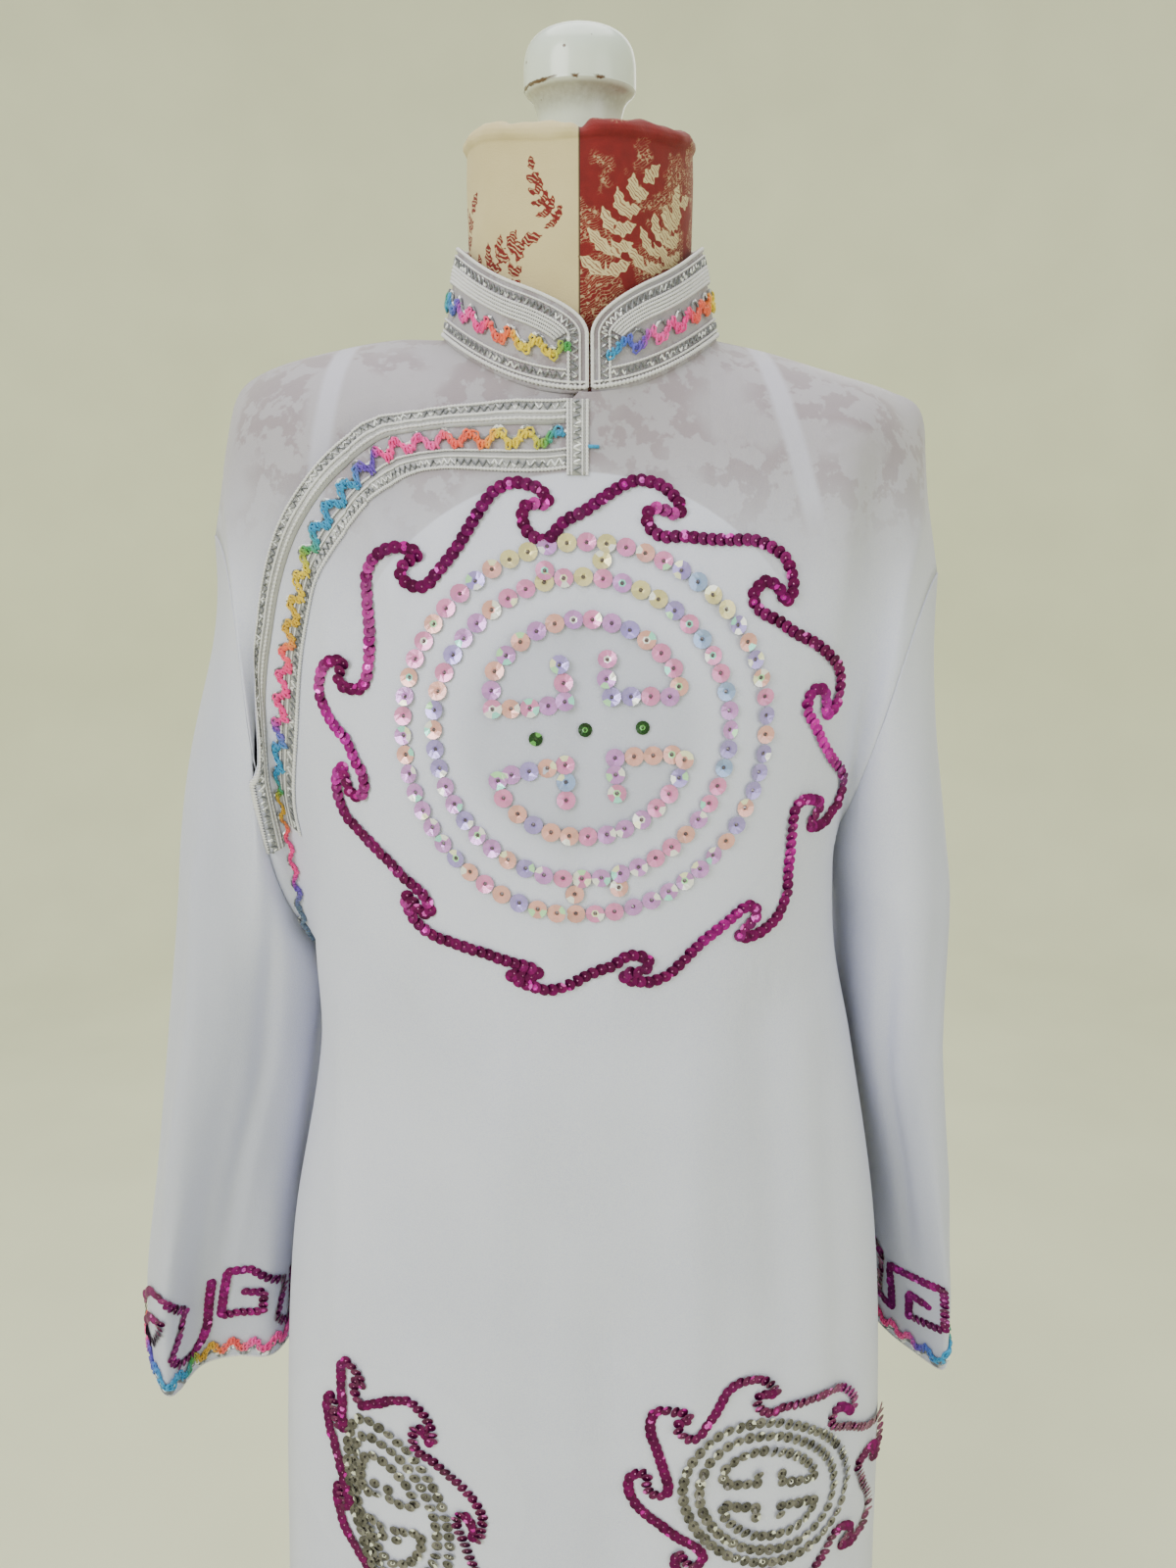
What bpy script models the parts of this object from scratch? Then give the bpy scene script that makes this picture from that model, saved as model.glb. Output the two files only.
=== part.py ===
"""Side-closing cheongsam robe on an upholstered dress form, built piece by piece as it is cut and sewn.

Metres, +Z up. The floor is z = 0 and the form's pole stands on the origin. The front faces -Y, so the
wearer's left is at +X. A place on the body of the robe is given by (side, u, v): side is FRONT or BACK,
u runs from -1 at the wearer's right edge through 0 at the centre line to +1 at the left edge, and v runs
from 0 at the neck and shoulder line through 1 at the underarm to 2 at the hem.
"""

import math
from collections import namedtuple

import bmesh
import bpy
from mathutils import Vector

# Cloth and seams
WALL = 0.0012  # thickness of each cloth wall
GAP = 0.0003  # clear space between pieces
SEAM = 0.00028  # half of the space left along a butted seam
FACET = 0.0006  # room for the flats of one mesh to pass those of another
LAP = WALL + GAP + 2 * FACET  # how far the overlapping front stands off the piece under it
LIE_ON = WALL / 2 + GAP + FACET  # from a panel's middle to the underside of what lies on it
TRIM_ROOM = 0.0030  # how much further the right sleeve keeps from the trimmings at the underarm
SHOULDER_START = 0.0016  # where, in v, a panel starts along the shoulder seam

# Heights above the floor
FRONT_NECK_Z = 1.356
SIDE_NECK_Z = 1.385
BACK_NECK_Z = 1.399
UNDERARM_Z = 1.117
UNDERARM_DROP = 0.062  # how much lower the underarm is on the wearer's right, where the robe opens
CLOSURE_END_Z = 1.035
SLIT_TOP_Z = 0.66
HEM_Z = 0.205
CUFF_Z = 0.752

# Neckline and collar
NECK_HALF_WIDTH = 0.0695
NECK_FRONT = 0.066
NECK_BACK = 0.062
COLLAR_WALL = 0.0018
COLLAR_HEIGHT = 0.042
COLLAR_FRONT_HEIGHT = 0.024
COLLAR_CORNER = 0.034  # length over which the front corner rounds up to full height
COLLAR_LEAN = 0.0085  # how far the top edge leans in at the sides
COLLAR_FRONT_LEAN = 0.003
COLLAR_PARTING = 0.0009  # half of the space between its front edges
COLLAR_RAISED = 0.0004  # how much further its base keeps from the neckline

# Skirt slits
SLIT_OPEN = 0.014  # half of the opening at the hem

FRONT = -1
BACK = 1

# Where the columns of cloth start, as u: the end of the neckline and the tip of the shoulder
U_NECK = 0.42

# The shoulder seam and the fall over the form's shoulder to the top of the sleeve, on each hand
Ridge = namedtuple("Ridge", "u x y z")
RIDGE_LEFT = [
    Ridge(u=0.42, x=0.0695, y=0.002, z=1.385),
    Ridge(u=0.52, x=0.098, y=0.004, z=1.379),
    Ridge(u=0.64, x=0.133, y=0.006, z=1.369),
    Ridge(u=0.76, x=0.164, y=0.006, z=1.360),
    Ridge(u=0.84, x=0.1810, y=0.005, z=1.349),
    Ridge(u=0.92, x=0.186, y=0.003, z=1.312),
    Ridge(u=1.00, x=0.195, y=0.001, z=1.266),
]
RIDGE_RIGHT = [
    Ridge(u=0.42, x=0.0695, y=0.002, z=1.385),
    Ridge(u=0.52, x=0.098, y=0.004, z=1.385),
    Ridge(u=0.64, x=0.133, y=0.006, z=1.379),
    Ridge(u=0.76, x=0.165, y=0.006, z=1.370),
    Ridge(u=0.84, x=0.1815, y=0.005, z=1.357),
    Ridge(u=0.92, x=0.190, y=0.003, z=1.324),
    Ridge(u=1.00, x=0.198, y=0.001, z=1.286),
]
CORNER_REACH = 0.12  # how far, in u, the corner at the end of the neckline is eased
CORNER_FADE = 0.28  # how far down, in v, that corner still shows

# Level sections of the robe below the underarm. sway is how far the middle lies to the wearer's left
Section = namedtuple("Section", "z half_width sway front back")
SECTIONS = [
    Section(z=0.205, half_width=0.219, sway=-0.002, front=0.158, back=0.160),
    Section(z=0.40, half_width=0.207, sway=-0.002, front=0.150, back=0.152),
    Section(z=0.60, half_width=0.197, sway=-0.001, front=0.142, back=0.146),
    Section(z=0.75, half_width=0.191, sway=0.001, front=0.135, back=0.140),
    Section(z=0.88, half_width=0.179, sway=0.002, front=0.130, back=0.131),
    Section(z=1.00, half_width=0.155, sway=0.004, front=0.126, back=0.114),
    Section(z=1.06, half_width=0.148, sway=-0.002, front=0.124, back=0.107),
    Section(z=1.117, half_width=0.146, sway=-0.004, front=0.121, back=0.102),
    Section(z=1.18, half_width=0.144, sway=-0.003, front=0.116, back=0.099),
]
FRONT_SQUARENESS = 0.80
BACK_SQUARENESS = 0.72

# Each column of the chest and back leaves the shoulder line and reaches the underarm level in these
# directions: towards the wearer's left, away from the shoulder seam, and down
Run = namedtuple("Run", "u left1 away1 down1 left2 away2 down2")
FRONT_RUNS = [
    Run(u=-1.00, left1=0.12, away1=0.24, down1=0.03, left2=0.10, away2=-0.20, down2=0.12),
    Run(u=-0.84, left1=0.00, away1=0.27, down1=0.03, left2=0.04, away2=0.00, down2=0.30),
    Run(u=-0.64, left1=0.00, away1=0.31, down1=0.02, left2=0.00, away2=0.02, down2=0.40),
    Run(u=-0.42, left1=-0.03, away1=0.26, down1=0.08, left2=0.00, away2=0.02, down2=0.34),
    Run(u=0.00, left1=0.00, away1=0.09, down1=0.24, left2=0.00, away2=0.01, down2=0.24),
    Run(u=0.42, left1=0.03, away1=0.26, down1=0.08, left2=0.00, away2=0.02, down2=0.34),
    Run(u=0.64, left1=0.00, away1=0.31, down1=0.02, left2=0.00, away2=0.02, down2=0.40),
    Run(u=0.84, left1=-0.03, away1=0.27, down1=0.04, left2=-0.01, away2=0.00, down2=0.30),
    Run(u=1.00, left1=-0.10, away1=0.23, down1=0.03, left2=-0.03, away2=-0.20, down2=0.12),
]
BACK_RUNS = [
    Run(u=-1.00, left1=0.09, away1=0.22, down1=0.03, left2=0.07, away2=-0.20, down2=0.12),
    Run(u=-0.84, left1=0.00, away1=0.25, down1=0.04, left2=0.02, away2=0.00, down2=0.30),
    Run(u=-0.64, left1=0.00, away1=0.30, down1=0.01, left2=0.00, away2=0.00, down2=0.38),
    Run(u=-0.42, left1=-0.03, away1=0.25, down1=0.04, left2=0.00, away2=0.00, down2=0.34),
    Run(u=0.00, left1=0.00, away1=0.14, down1=0.16, left2=0.00, away2=0.00, down2=0.28),
    Run(u=0.42, left1=0.03, away1=0.25, down1=0.04, left2=0.00, away2=0.00, down2=0.34),
    Run(u=0.64, left1=0.00, away1=0.30, down1=0.01, left2=0.00, away2=0.00, down2=0.38),
    Run(u=0.84, left1=-0.02, away1=0.25, down1=0.04, left2=-0.02, away2=0.00, down2=0.30),
    Run(u=1.00, left1=-0.05, away1=0.22, down1=0.03, left2=-0.05, away2=-0.20, down2=0.12),
]

# Long soft folds of the skirt. u is where the fold runs at the hem, and it fades out upwards
Fold = namedtuple("Fold", "side u reach height top_z")
FOLDS = [
    Fold(side=FRONT, u=-0.62, reach=0.17, height=0.016, top_z=1.02),
    Fold(side=FRONT, u=-0.20, reach=0.16, height=-0.012, top_z=1.10),
    Fold(side=FRONT, u=0.26, reach=0.20, height=0.009, top_z=0.98),
    Fold(side=FRONT, u=0.64, reach=0.13, height=-0.007, top_z=0.85),
    Fold(side=FRONT, u=0.88, reach=0.10, height=0.008, top_z=0.80),
    Fold(side=BACK, u=-0.66, reach=0.14, height=0.014, top_z=0.95),
    Fold(side=BACK, u=-0.28, reach=0.15, height=-0.012, top_z=1.00),
    Fold(side=BACK, u=0.10, reach=0.15, height=0.013, top_z=1.05),
    Fold(side=BACK, u=0.50, reach=0.14, height=-0.010, top_z=0.95),
    Fold(side=BACK, u=0.80, reach=0.11, height=0.010, top_z=0.90),
]

# The free edge of the overlapping front, from the centre of the neck to the right armhole
EdgePoint = namedtuple("EdgePoint", "x z")
FLAP_EDGE = [
    EdgePoint(x=0.0000, z=1.3535),
    EdgePoint(x=-0.0300, z=1.3520),
    EdgePoint(x=-0.0550, z=1.3490),
    EdgePoint(x=-0.0780, z=1.3450),
    EdgePoint(x=-0.0990, z=1.3400),
    EdgePoint(x=-0.1175, z=1.3310),
    EdgePoint(x=-0.1355, z=1.3160),
    EdgePoint(x=-0.1485, z=1.2960),
    EdgePoint(x=-0.1580, z=1.2700),
    EdgePoint(x=-0.1645, z=1.2400),
]
FLAP_MEETS_ARMHOLE_V = 0.56
UNDERLAP_REACH = 0.14  # how far, in v, the under piece runs on below the flap's edge
UNDERLAP_SINK = 0.0009  # how far its covered part lies in from its own surface
UNDERLAP_FADE = (0.78, 1.0)  # how far to the right, as -u, it runs on less and less
UNDERLAP_CLEAR = 0.09  # how far, in u, its side keeps from the corner where the flap meets the armhole
UNDERLAP_CLEAR_BY = (0.22, 0.48)  # the v between which it draws back from that corner

# Hanging sections of the sleeves. depth and breadth are half sizes, turn swings the front edge outwards
Sleeve = namedtuple("Sleeve", "z x y depth breadth turn")
LEFT_SLEEVE = [
    Sleeve(z=0.752, x=0.2150, y=0.036, depth=0.056, breadth=0.020, turn=24),
    Sleeve(z=0.82, x=0.2095, y=0.024, depth=0.056, breadth=0.021, turn=21),
    Sleeve(z=0.90, x=0.2010, y=0.014, depth=0.056, breadth=0.0195, turn=12),
    Sleeve(z=1.00, x=0.1870, y=0.006, depth=0.056, breadth=0.026, turn=5),
    Sleeve(z=1.117, x=0.1780, y=0.002, depth=0.055, breadth=0.031, turn=2),
    Sleeve(z=1.20, x=0.1740, y=0.001, depth=0.054, breadth=0.031, turn=0),
    Sleeve(z=1.27, x=0.1700, y=0.001, depth=0.052, breadth=0.027, turn=0),
]
RIGHT_SLEEVE = [
    Sleeve(z=0.752, x=0.2410, y=0.014, depth=0.050, breadth=0.046, turn=8),
    Sleeve(z=0.82, x=0.2350, y=0.012, depth=0.051, breadth=0.046, turn=8),
    Sleeve(z=0.90, x=0.2215, y=0.009, depth=0.052, breadth=0.044, turn=6),
    Sleeve(z=1.00, x=0.2035, y=0.006, depth=0.053, breadth=0.045, turn=3),
    Sleeve(z=1.117, x=0.1870, y=0.002, depth=0.054, breadth=0.043, turn=0),
    Sleeve(z=1.20, x=0.1860, y=0.001, depth=0.054, breadth=0.040, turn=0),
    Sleeve(z=1.27, x=0.1780, y=0.001, depth=0.052, breadth=0.030, turn=0),
]
SLEEVE_BLEND = 0.32  # share of the sleeve over which it turns from the armhole to hanging
UNDERARM_BLEND = 0.12  # the same at the underarm, where it leaves the body at once

# Shares of the way round the right armhole: where the sleeve has to pass over the flap and its trimmings
FLAP_STARTS = (0.16, 0.24)
FLAP_ENDS = (0.60, 0.52)
TRIMS_AT = 0.42
TRIMS_REACH = 0.16

# The outlines of the cuffs as seen from above, x away from the centre line. They start at the outer
# side and run round by the front, and their folds run up the sleeves and fade out at FOLD_TOP_Z
Plan = namedtuple("Plan", "x y")
LEFT_CUFF = [
    Plan(x=0.238, y=0.014),
    Plan(x=0.240, y=-0.003),
    Plan(x=0.236, y=-0.018),
    Plan(x=0.221, y=0.001),
    Plan(x=0.209, y=0.019),
    Plan(x=0.201, y=0.040),
    Plan(x=0.197, y=0.064),
    Plan(x=0.193, y=0.097),
    Plan(x=0.208, y=0.108),
    Plan(x=0.231, y=0.072),
]
RIGHT_CUFF = [
    Plan(x=0.289, y=0.018),
    Plan(x=0.283, y=-0.013),
    Plan(x=0.267, y=-0.038),
    Plan(x=0.250, y=-0.015),
    Plan(x=0.226, y=-0.013),
    Plan(x=0.204, y=-0.009),
    Plan(x=0.197, y=0.022),
    Plan(x=0.204, y=0.050),
    Plan(x=0.238, y=0.062),
    Plan(x=0.275, y=0.053),
]
FOLD_TOP_Z = 1.14

# Trimmings, as widths and distances in from the edge that they follow
BRAID_THICK = 0.0009
RICKRACK_THICK = 0.0010
BAND_WIDTH = 0.0330
BAND_WIDTH_SIDE = 0.0132  # once the band has turned down the side seam
OUTER_BRAID = (0.02, 0.28)  # shares of the band's width
PLACKET_RICKRACK_AT = 0.53
INNER_BRAID = (0.80, 0.98)
NARROWING = (0.74, 1.00)  # shares of the way to the underarm between which the band narrows
BRAIDS_STOP = 0.085  # how far before the underarm the two braids stop
BAND_STATIONS = 48
END_BRAID_X = (-0.0082, 0.0018)
END_BRAID_Z = (1.3522, 1.3180)
END_BRAID_ROOM = 0.0030  # between the end braid and the ones that it ends
COLLAR_TOP_BRAID = (0.0005, 0.0072)
COLLAR_BASE_BRAID = (0.0006, 0.0064)
COLLAR_RICKRACK_AT = 0.0165
CUFF_RICKRACK_AT = 0.0095
WAVE_LENGTH = 0.0140
WAVE_REACH = 0.0036  # from the middle of the rickrack to its peaks
RICKRACK_HALF = 0.0019  # half of the width of the rickrack's own ribbon

# Stiffening discs sewn behind the sequin roundels, as x, z and radius on the front
Disc = namedtuple("Disc", "name x z radius")
DISCS = [
    Disc(name="backing_chest", x=0.000, z=1.203, radius=0.117),
    Disc(name="backing_hip_right", x=-0.106, z=0.765, radius=0.073),
    Disc(name="backing_hip_left", x=0.104, z=0.765, radius=0.073),
]
DISC_WALL = 0.0010

# Dress form: a padded torso, a neck block, a turned knob and a stand
FormRing = namedtuple("FormRing", "z half_width front back squareness")
FORM_RINGS = [
    FormRing(z=0.715, half_width=0.150, front=0.092, back=0.104, squareness=1.0),
    FormRing(z=0.76, half_width=0.159, front=0.098, back=0.112, squareness=1.0),
    FormRing(z=0.82, half_width=0.162, front=0.098, back=0.114, squareness=1.0),
    FormRing(z=0.90, half_width=0.146, front=0.090, back=0.102, squareness=1.0),
    FormRing(z=1.00, half_width=0.116, front=0.080, back=0.082, squareness=1.0),
    FormRing(z=1.07, half_width=0.121, front=0.094, back=0.084, squareness=1.0),
    FormRing(z=1.14, half_width=0.131, front=0.107, back=0.088, squareness=1.0),
    FormRing(z=1.20, half_width=0.139, front=0.100, back=0.088, squareness=1.0),
    FormRing(z=1.26, half_width=0.153, front=0.084, back=0.082, squareness=1.0),
    FormRing(z=1.31, half_width=0.166, front=0.069, back=0.074, squareness=1.12),
    FormRing(z=1.340, half_width=0.163, front=0.063, back=0.066, squareness=1.35),
    FormRing(z=1.356, half_width=0.146, front=0.0595, back=0.061, squareness=1.7),
    FormRing(z=1.368, half_width=0.100, front=0.0535, back=0.056, squareness=1.8),
    FormRing(z=1.378, half_width=0.0635, front=0.0550, back=0.0555, squareness=1.15),
    FormRing(z=1.390, half_width=0.0562, front=0.056, back=0.056, squareness=1.0),
    FormRing(z=1.452, half_width=0.0570, front=0.057, back=0.057, squareness=1.0),
    FormRing(z=1.464, half_width=0.0565, front=0.0565, back=0.0565, squareness=1.0),
    FormRing(z=1.471, half_width=0.0515, front=0.0515, back=0.0515, squareness=1.0),
    FormRing(z=1.473, half_width=0.0400, front=0.0400, back=0.0400, squareness=1.0),
]
Turned = namedtuple("Turned", "radius z")
KNOB = [
    Turned(radius=0.0000, z=1.5320),
    Turned(radius=0.0120, z=1.5310),
    Turned(radius=0.0205, z=1.5275),
    Turned(radius=0.0255, z=1.5215),
    Turned(radius=0.0272, z=1.5150),
    Turned(radius=0.0272, z=1.5060),
    Turned(radius=0.0262, z=1.5030),
    Turned(radius=0.0232, z=1.5005),
    Turned(radius=0.0196, z=1.4975),
    Turned(radius=0.0178, z=1.4920),
    Turned(radius=0.0166, z=1.4820),
    Turned(radius=0.0164, z=1.4733),
    Turned(radius=0.0000, z=1.4733),
]
POLE_RADIUS = 0.015
BASE_TOP_Z = 0.026
STAND = [
    Turned(radius=0.0000, z=0.7147),
    Turned(radius=0.0340, z=0.7147),
    Turned(radius=0.0340, z=0.7060),
    Turned(radius=0.0200, z=0.6980),
    Turned(radius=POLE_RADIUS, z=0.6850),
    Turned(radius=POLE_RADIUS, z=0.0900),
    Turned(radius=0.0190, z=0.0680),
    Turned(radius=0.0300, z=0.0480),
    Turned(radius=0.0340, z=BASE_TOP_Z + GAP),
    Turned(radius=0.0000, z=BASE_TOP_Z + GAP),
]
BASE = [
    Turned(radius=0.0000, z=BASE_TOP_Z),
    Turned(radius=0.1500, z=BASE_TOP_Z - 0.004),
    Turned(radius=0.1640, z=BASE_TOP_Z - 0.009),
    Turned(radius=0.1680, z=BASE_TOP_Z - 0.016),
    Turned(radius=0.1640, z=0.003),
    Turned(radius=0.1610, z=0.0),
    Turned(radius=0.0000, z=0.0),
]

# How finely each surface is divided
FRONT_COLUMNS = 30
BACK_COLUMNS = 24
CHEST_ROWS = 11
SKIRT_ROWS = 13
SLEEVE_COLUMNS = 30
SLEEVE_ROWS = 15

WHITE = (0.80, 0.80, 0.86, 1.0)
SILVER = (0.62, 0.62, 0.60, 1.0)
RAINBOW = (0.95, 0.42, 0.55, 1.0)
CREAM = (0.78, 0.66, 0.46, 1.0)
PAINT = (0.78, 0.79, 0.77, 1.0)


def clear_scene():
    for obj in list(bpy.data.objects):
        bpy.data.objects.remove(obj, do_unlink=True)


def finish(name, colour, roughness, metallic=0.0):
    """A plain finish for one kind of material."""
    material = bpy.data.materials.new(name)
    material.use_nodes = True
    shader = material.node_tree.nodes["Principled BSDF"]
    shader.inputs["Base Color"].default_value = colour
    shader.inputs["Roughness"].default_value = roughness
    shader.inputs["Metallic"].default_value = metallic
    return material


def new_object(name, mesh, material, collection):
    obj = bpy.data.objects.new(name, mesh)
    mesh.materials.append(material)
    collection.objects.link(obj)
    return obj


def smoothstep(start, end, at):
    share = min(1.0, max(0.0, (at - start) / (end - start)))
    return share * share * (3 - 2 * share)


def bell(offset, spread):
    """A smooth bump, 1 at no offset and near 0 past twice the spread."""
    return math.exp(-((offset / spread) ** 2))


def hermite(start, start_run, end, end_run, t):
    """A cubic curve between two points, or two numbers, that leaves and arrives with the given runs."""
    t2 = t * t
    t3 = t2 * t
    return (
        start * (2 * t3 - 3 * t2 + 1)
        + start_run * (t3 - 2 * t2 + t)
        + end * (3 * t2 - 2 * t3)
        + end_run * (t3 - t2)
    )


def read(rows, key, column, at):
    """Reads one column of a table at a value of its key column, on a smooth curve through its rows."""
    keys = [getattr(row, key) for row in rows]
    values = [getattr(row, column) for row in rows]
    at = min(keys[-1], max(keys[0], at))
    i = max(n for n in range(len(keys) - 1) if keys[n] <= at)

    def slope(n):
        low, high = max(0, n - 1), min(len(keys) - 1, n + 1)
        return (values[high] - values[low]) / (keys[high] - keys[low])

    span = keys[i + 1] - keys[i]
    return hermite(values[i], slope(i) * span, values[i + 1], slope(i + 1) * span, (at - keys[i]) / span)


def neckline(side, share):
    """A point of the left half of the neckline, from the centre at share 0 to the shoulder seam at 1."""
    angle = share * math.pi / 2
    seam = RIDGE_LEFT[0]
    depth, centre_z = (NECK_FRONT, FRONT_NECK_Z) if side == FRONT else (NECK_BACK, BACK_NECK_Z)
    return Vector(
        (
            NECK_HALF_WIDTH * math.sin(angle),
            seam.y + side * (depth + side * -seam.y) * math.cos(angle),
            centre_z + (SIDE_NECK_Z - centre_z) * math.sin(angle) ** 2,
        )
    )


def shoulder_line(side, u):
    """The line that the columns of cloth hang from."""
    if abs(u) <= U_NECK:
        point = neckline(side, abs(u) / U_NECK)
    else:
        ridge = RIDGE_LEFT if u > 0 else RIDGE_RIGHT
        point = Vector([read(ridge, "u", axis, abs(u)) for axis in "xyz"])
    point.x = math.copysign(point.x, u)
    return point


def eased_shoulder_line(side, u):
    """The shoulder line without the sharp corner at the end of the neckline."""
    reach = min(CORNER_REACH, 1 - abs(u))
    shifts = (-1, -0.5, 0, 0.5, 1)
    return sum((shoulder_line(side, u + shift * reach) for shift in shifts), Vector()) / len(shifts)


def underarm_z(u):
    """The height at which the column at u leaves the chest or back, lower towards the right armhole."""
    return UNDERARM_Z - UNDERARM_DROP * smoothstep(-0.50, -1.0, u)


def height_at(u, v):
    """The height of the robe below the underarm, for v from 1 to 2."""
    top = underarm_z(u)
    return top + (HEM_Z - top) * (v - 1)


def fold_height(side, u, z):
    """How far the skirt's folds push the cloth outwards."""
    total = 0.0
    for fold in FOLDS:
        if fold.side == side:
            fade = smoothstep(fold.top_z, HEM_Z, z)
            total += fold.height * fade * bell(u - fold.u, fold.reach)
    return total * (1 - smoothstep(0.86, 1.0, abs(u)))


def level_point(side, u, z):
    """A point of the robe's level section at height z."""
    angle = abs(u) * math.pi / 2
    half_width = read(SECTIONS, "z", "half_width", z)
    depth = read(SECTIONS, "z", "front" if side == FRONT else "back", z)
    squareness = FRONT_SQUARENESS if side == FRONT else BACK_SQUARENESS
    edge = SEAM + SLIT_OPEN * smoothstep(SLIT_TOP_Z, HEM_Z, z) * bell(1 - abs(u), 0.35)
    push = fold_height(side, u, z)
    across = math.copysign((half_width + push) * math.sin(angle), u) + read(SECTIONS, "z", "sway", z)
    forward = edge + (depth - edge) * max(0.0, math.cos(angle)) ** squareness + push * math.cos(angle)
    return Vector((across, side * forward, z))


def run_of(side, u, which):
    """The direction of a chest or back column at its start (1) or its end (2)."""
    rows = FRONT_RUNS if side == FRONT else BACK_RUNS
    left, away, down = (read(rows, "u", name + which, u) for name in ("left", "away", "down"))
    return Vector((left, side * away, -down))


def cloth(side, u, v):
    """A point of the robe's own surface at (side, u, v)."""
    if v >= 1:
        return level_point(side, u, height_at(u, v))
    eased = eased_shoulder_line(side, u)
    corner = (shoulder_line(side, u) - eased) * max(0.0, 1 - v / CORNER_FADE) ** 3
    end = level_point(side, u, underarm_z(u))
    return hermite(eased, run_of(side, u, "1"), end, run_of(side, u, "2"), v) + corner


def slopes(side, u, v):
    """The surface's two directions at (side, u, v), per unit of u and of v."""
    du = 0.002
    dv = 0.002
    low_u, high_u = max(-1.0, u - du), min(1.0, u + du)
    low_v, high_v = max(0.0, v - dv), min(2.0, v + dv)
    along_u = (cloth(side, high_u, v) - cloth(side, low_u, v)) / (high_u - low_u)
    along_v = (cloth(side, u, high_v) - cloth(side, u, low_v)) / (high_v - low_v)
    return along_u, along_v


def lap_lift(u, v):
    """How far the overlapping front stands off: all of it on the wearer's right, none on the left."""
    return LAP * smoothstep(0.12, -0.04, u) * smoothstep(0.90, CLOSURE_END_Z, height_at(u, max(1.0, v)))


def outward(side, u, v):
    """The surface's outward normal."""
    inset_u = max(-0.995, min(0.995, u))
    along_u, along_v = slopes(side, inset_u, max(0.004, v))
    normal = along_u.cross(along_v).normalized()
    return normal if side == BACK else -normal


def on_front(u, v, off=0.0):
    """A point of the front panel, moved out from its middle by off."""
    return cloth(FRONT, u, v) + outward(FRONT, u, v) * (lap_lift(u, v) + off)


def find_on_front(x, z):
    """The (u, v) of the front whose point has this x and z."""
    u = max(-0.95, min(0.95, x / 0.16))
    v = 0.6 if z > UNDERARM_Z else 1 + (UNDERARM_Z - z) / (UNDERARM_Z - HEM_Z)
    for _ in range(30):
        point = cloth(FRONT, u, v)
        along_u, along_v = slopes(FRONT, u, v)
        miss_x, miss_z = x - point.x, z - point.z
        scale = along_u.x * along_v.z - along_v.x * along_u.z
        step_u = (miss_x * along_v.z - miss_z * along_v.x) / scale
        step_v = (miss_z * along_u.x - miss_x * along_u.z) / scale
        u = max(-1.0, min(1.0, u + 0.7 * max(-0.2, min(0.2, step_u))))
        v = max(0.0, min(2.0, v + 0.7 * max(-0.2, min(0.2, step_v))))
    return u, v


def walk(u, v, direction, distance):
    """Goes a distance over the front from (u, v), straight ahead in a direction of space."""
    steps = max(1, math.ceil(distance / 0.004))
    for _ in range(steps):
        along_u, along_v = slopes(FRONT, u, v)
        normal = along_u.cross(along_v).normalized()
        direction = (direction - normal * direction.dot(normal)).normalized()
        ahead = direction * (distance / steps)
        uu, uv, vv = along_u.dot(along_u), along_u.dot(along_v), along_v.dot(along_v)
        scale = uu * vv - uv * uv
        ahead_u, ahead_v = ahead.dot(along_u), ahead.dot(along_v)
        u = max(-1.0, min(1.0, u + (ahead_u * vv - ahead_v * uv) / scale))
        v = max(0.0, min(2.0, v + (ahead_v * uu - ahead_u * uv) / scale))
    return u, v


def surface_mesh(name, rows, closed=False):
    """An open surface through rows of points. closed joins the last column to the first."""
    count = len(rows[0])
    mesh = bpy.data.meshes.new(name)
    builder = bmesh.new()
    bmesh.ops.create_grid(builder, x_segments=count - 1, y_segments=len(rows) - 1, size=1)
    for vert, point in zip(builder.verts, [point for row in rows for point in row]):
        vert.co = point
    if closed:
        bmesh.ops.remove_doubles(builder, verts=builder.verts, dist=1e-6)
    builder.to_mesh(mesh)
    builder.free()
    mesh.shade_smooth()
    return mesh


def walled(name, rows, thickness, material, collection, closed=False):
    """A closed wall of the given thickness with the surface in its middle."""
    obj = new_object(name, surface_mesh(name, rows, closed), material, collection)
    solidify = obj.modifiers.new("thickness", "SOLIDIFY")
    solidify.thickness = thickness
    solidify.offset = 0.0
    solidify.use_even_offset = True
    return obj


def spread_evenly(count, start, end):
    return [start + (end - start) * i / (count - 1) for i in range(count)]


def chest_rows():
    """Shares of the way from the shoulder line to the underarm, closer together where the cloth bends."""
    return [(i / CHEST_ROWS) ** 1.35 for i in range(CHEST_ROWS + 1)]


def flap_top():
    """The flap's edge as a list of (u, v) from the centre line to the right armhole."""
    found = [find_on_front(point.x, point.z) for point in FLAP_EDGE]
    return [(0.0, found[0][1])] + found[1:] + [(-1.0, FLAP_MEETS_ARMHOLE_V)]


FlapKnot = namedtuple("FlapKnot", "along v")


def flap_v(knots, u):
    """The v at which the flap starts in the column at u."""
    if u >= 0:
        return 0.0
    return max(0.0, read(knots, "along", "v", -u))


def front_columns():
    return spread_evenly(FRONT_COLUMNS + 1, -1, 1)


def front_panel(knots, material, collection):
    """The whole front with its overlapping flap, from neck and left shoulder to the hem."""
    rows = []
    columns = front_columns()
    for share in chest_rows():
        row = []
        for u in columns:
            top = flap_v(knots, u)
            seam = SHOULDER_START if u > 0 and share == 0 else 0.0
            row.append(on_front(u, max(seam, top + (1 - top) * share)))
        rows.append(row)
    for v in spread_evenly(SKIRT_ROWS + 1, 1, 2)[1:]:
        rows.append([on_front(u, v) for u in columns])
    return walled("front", rows, WALL, material, collection)


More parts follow.
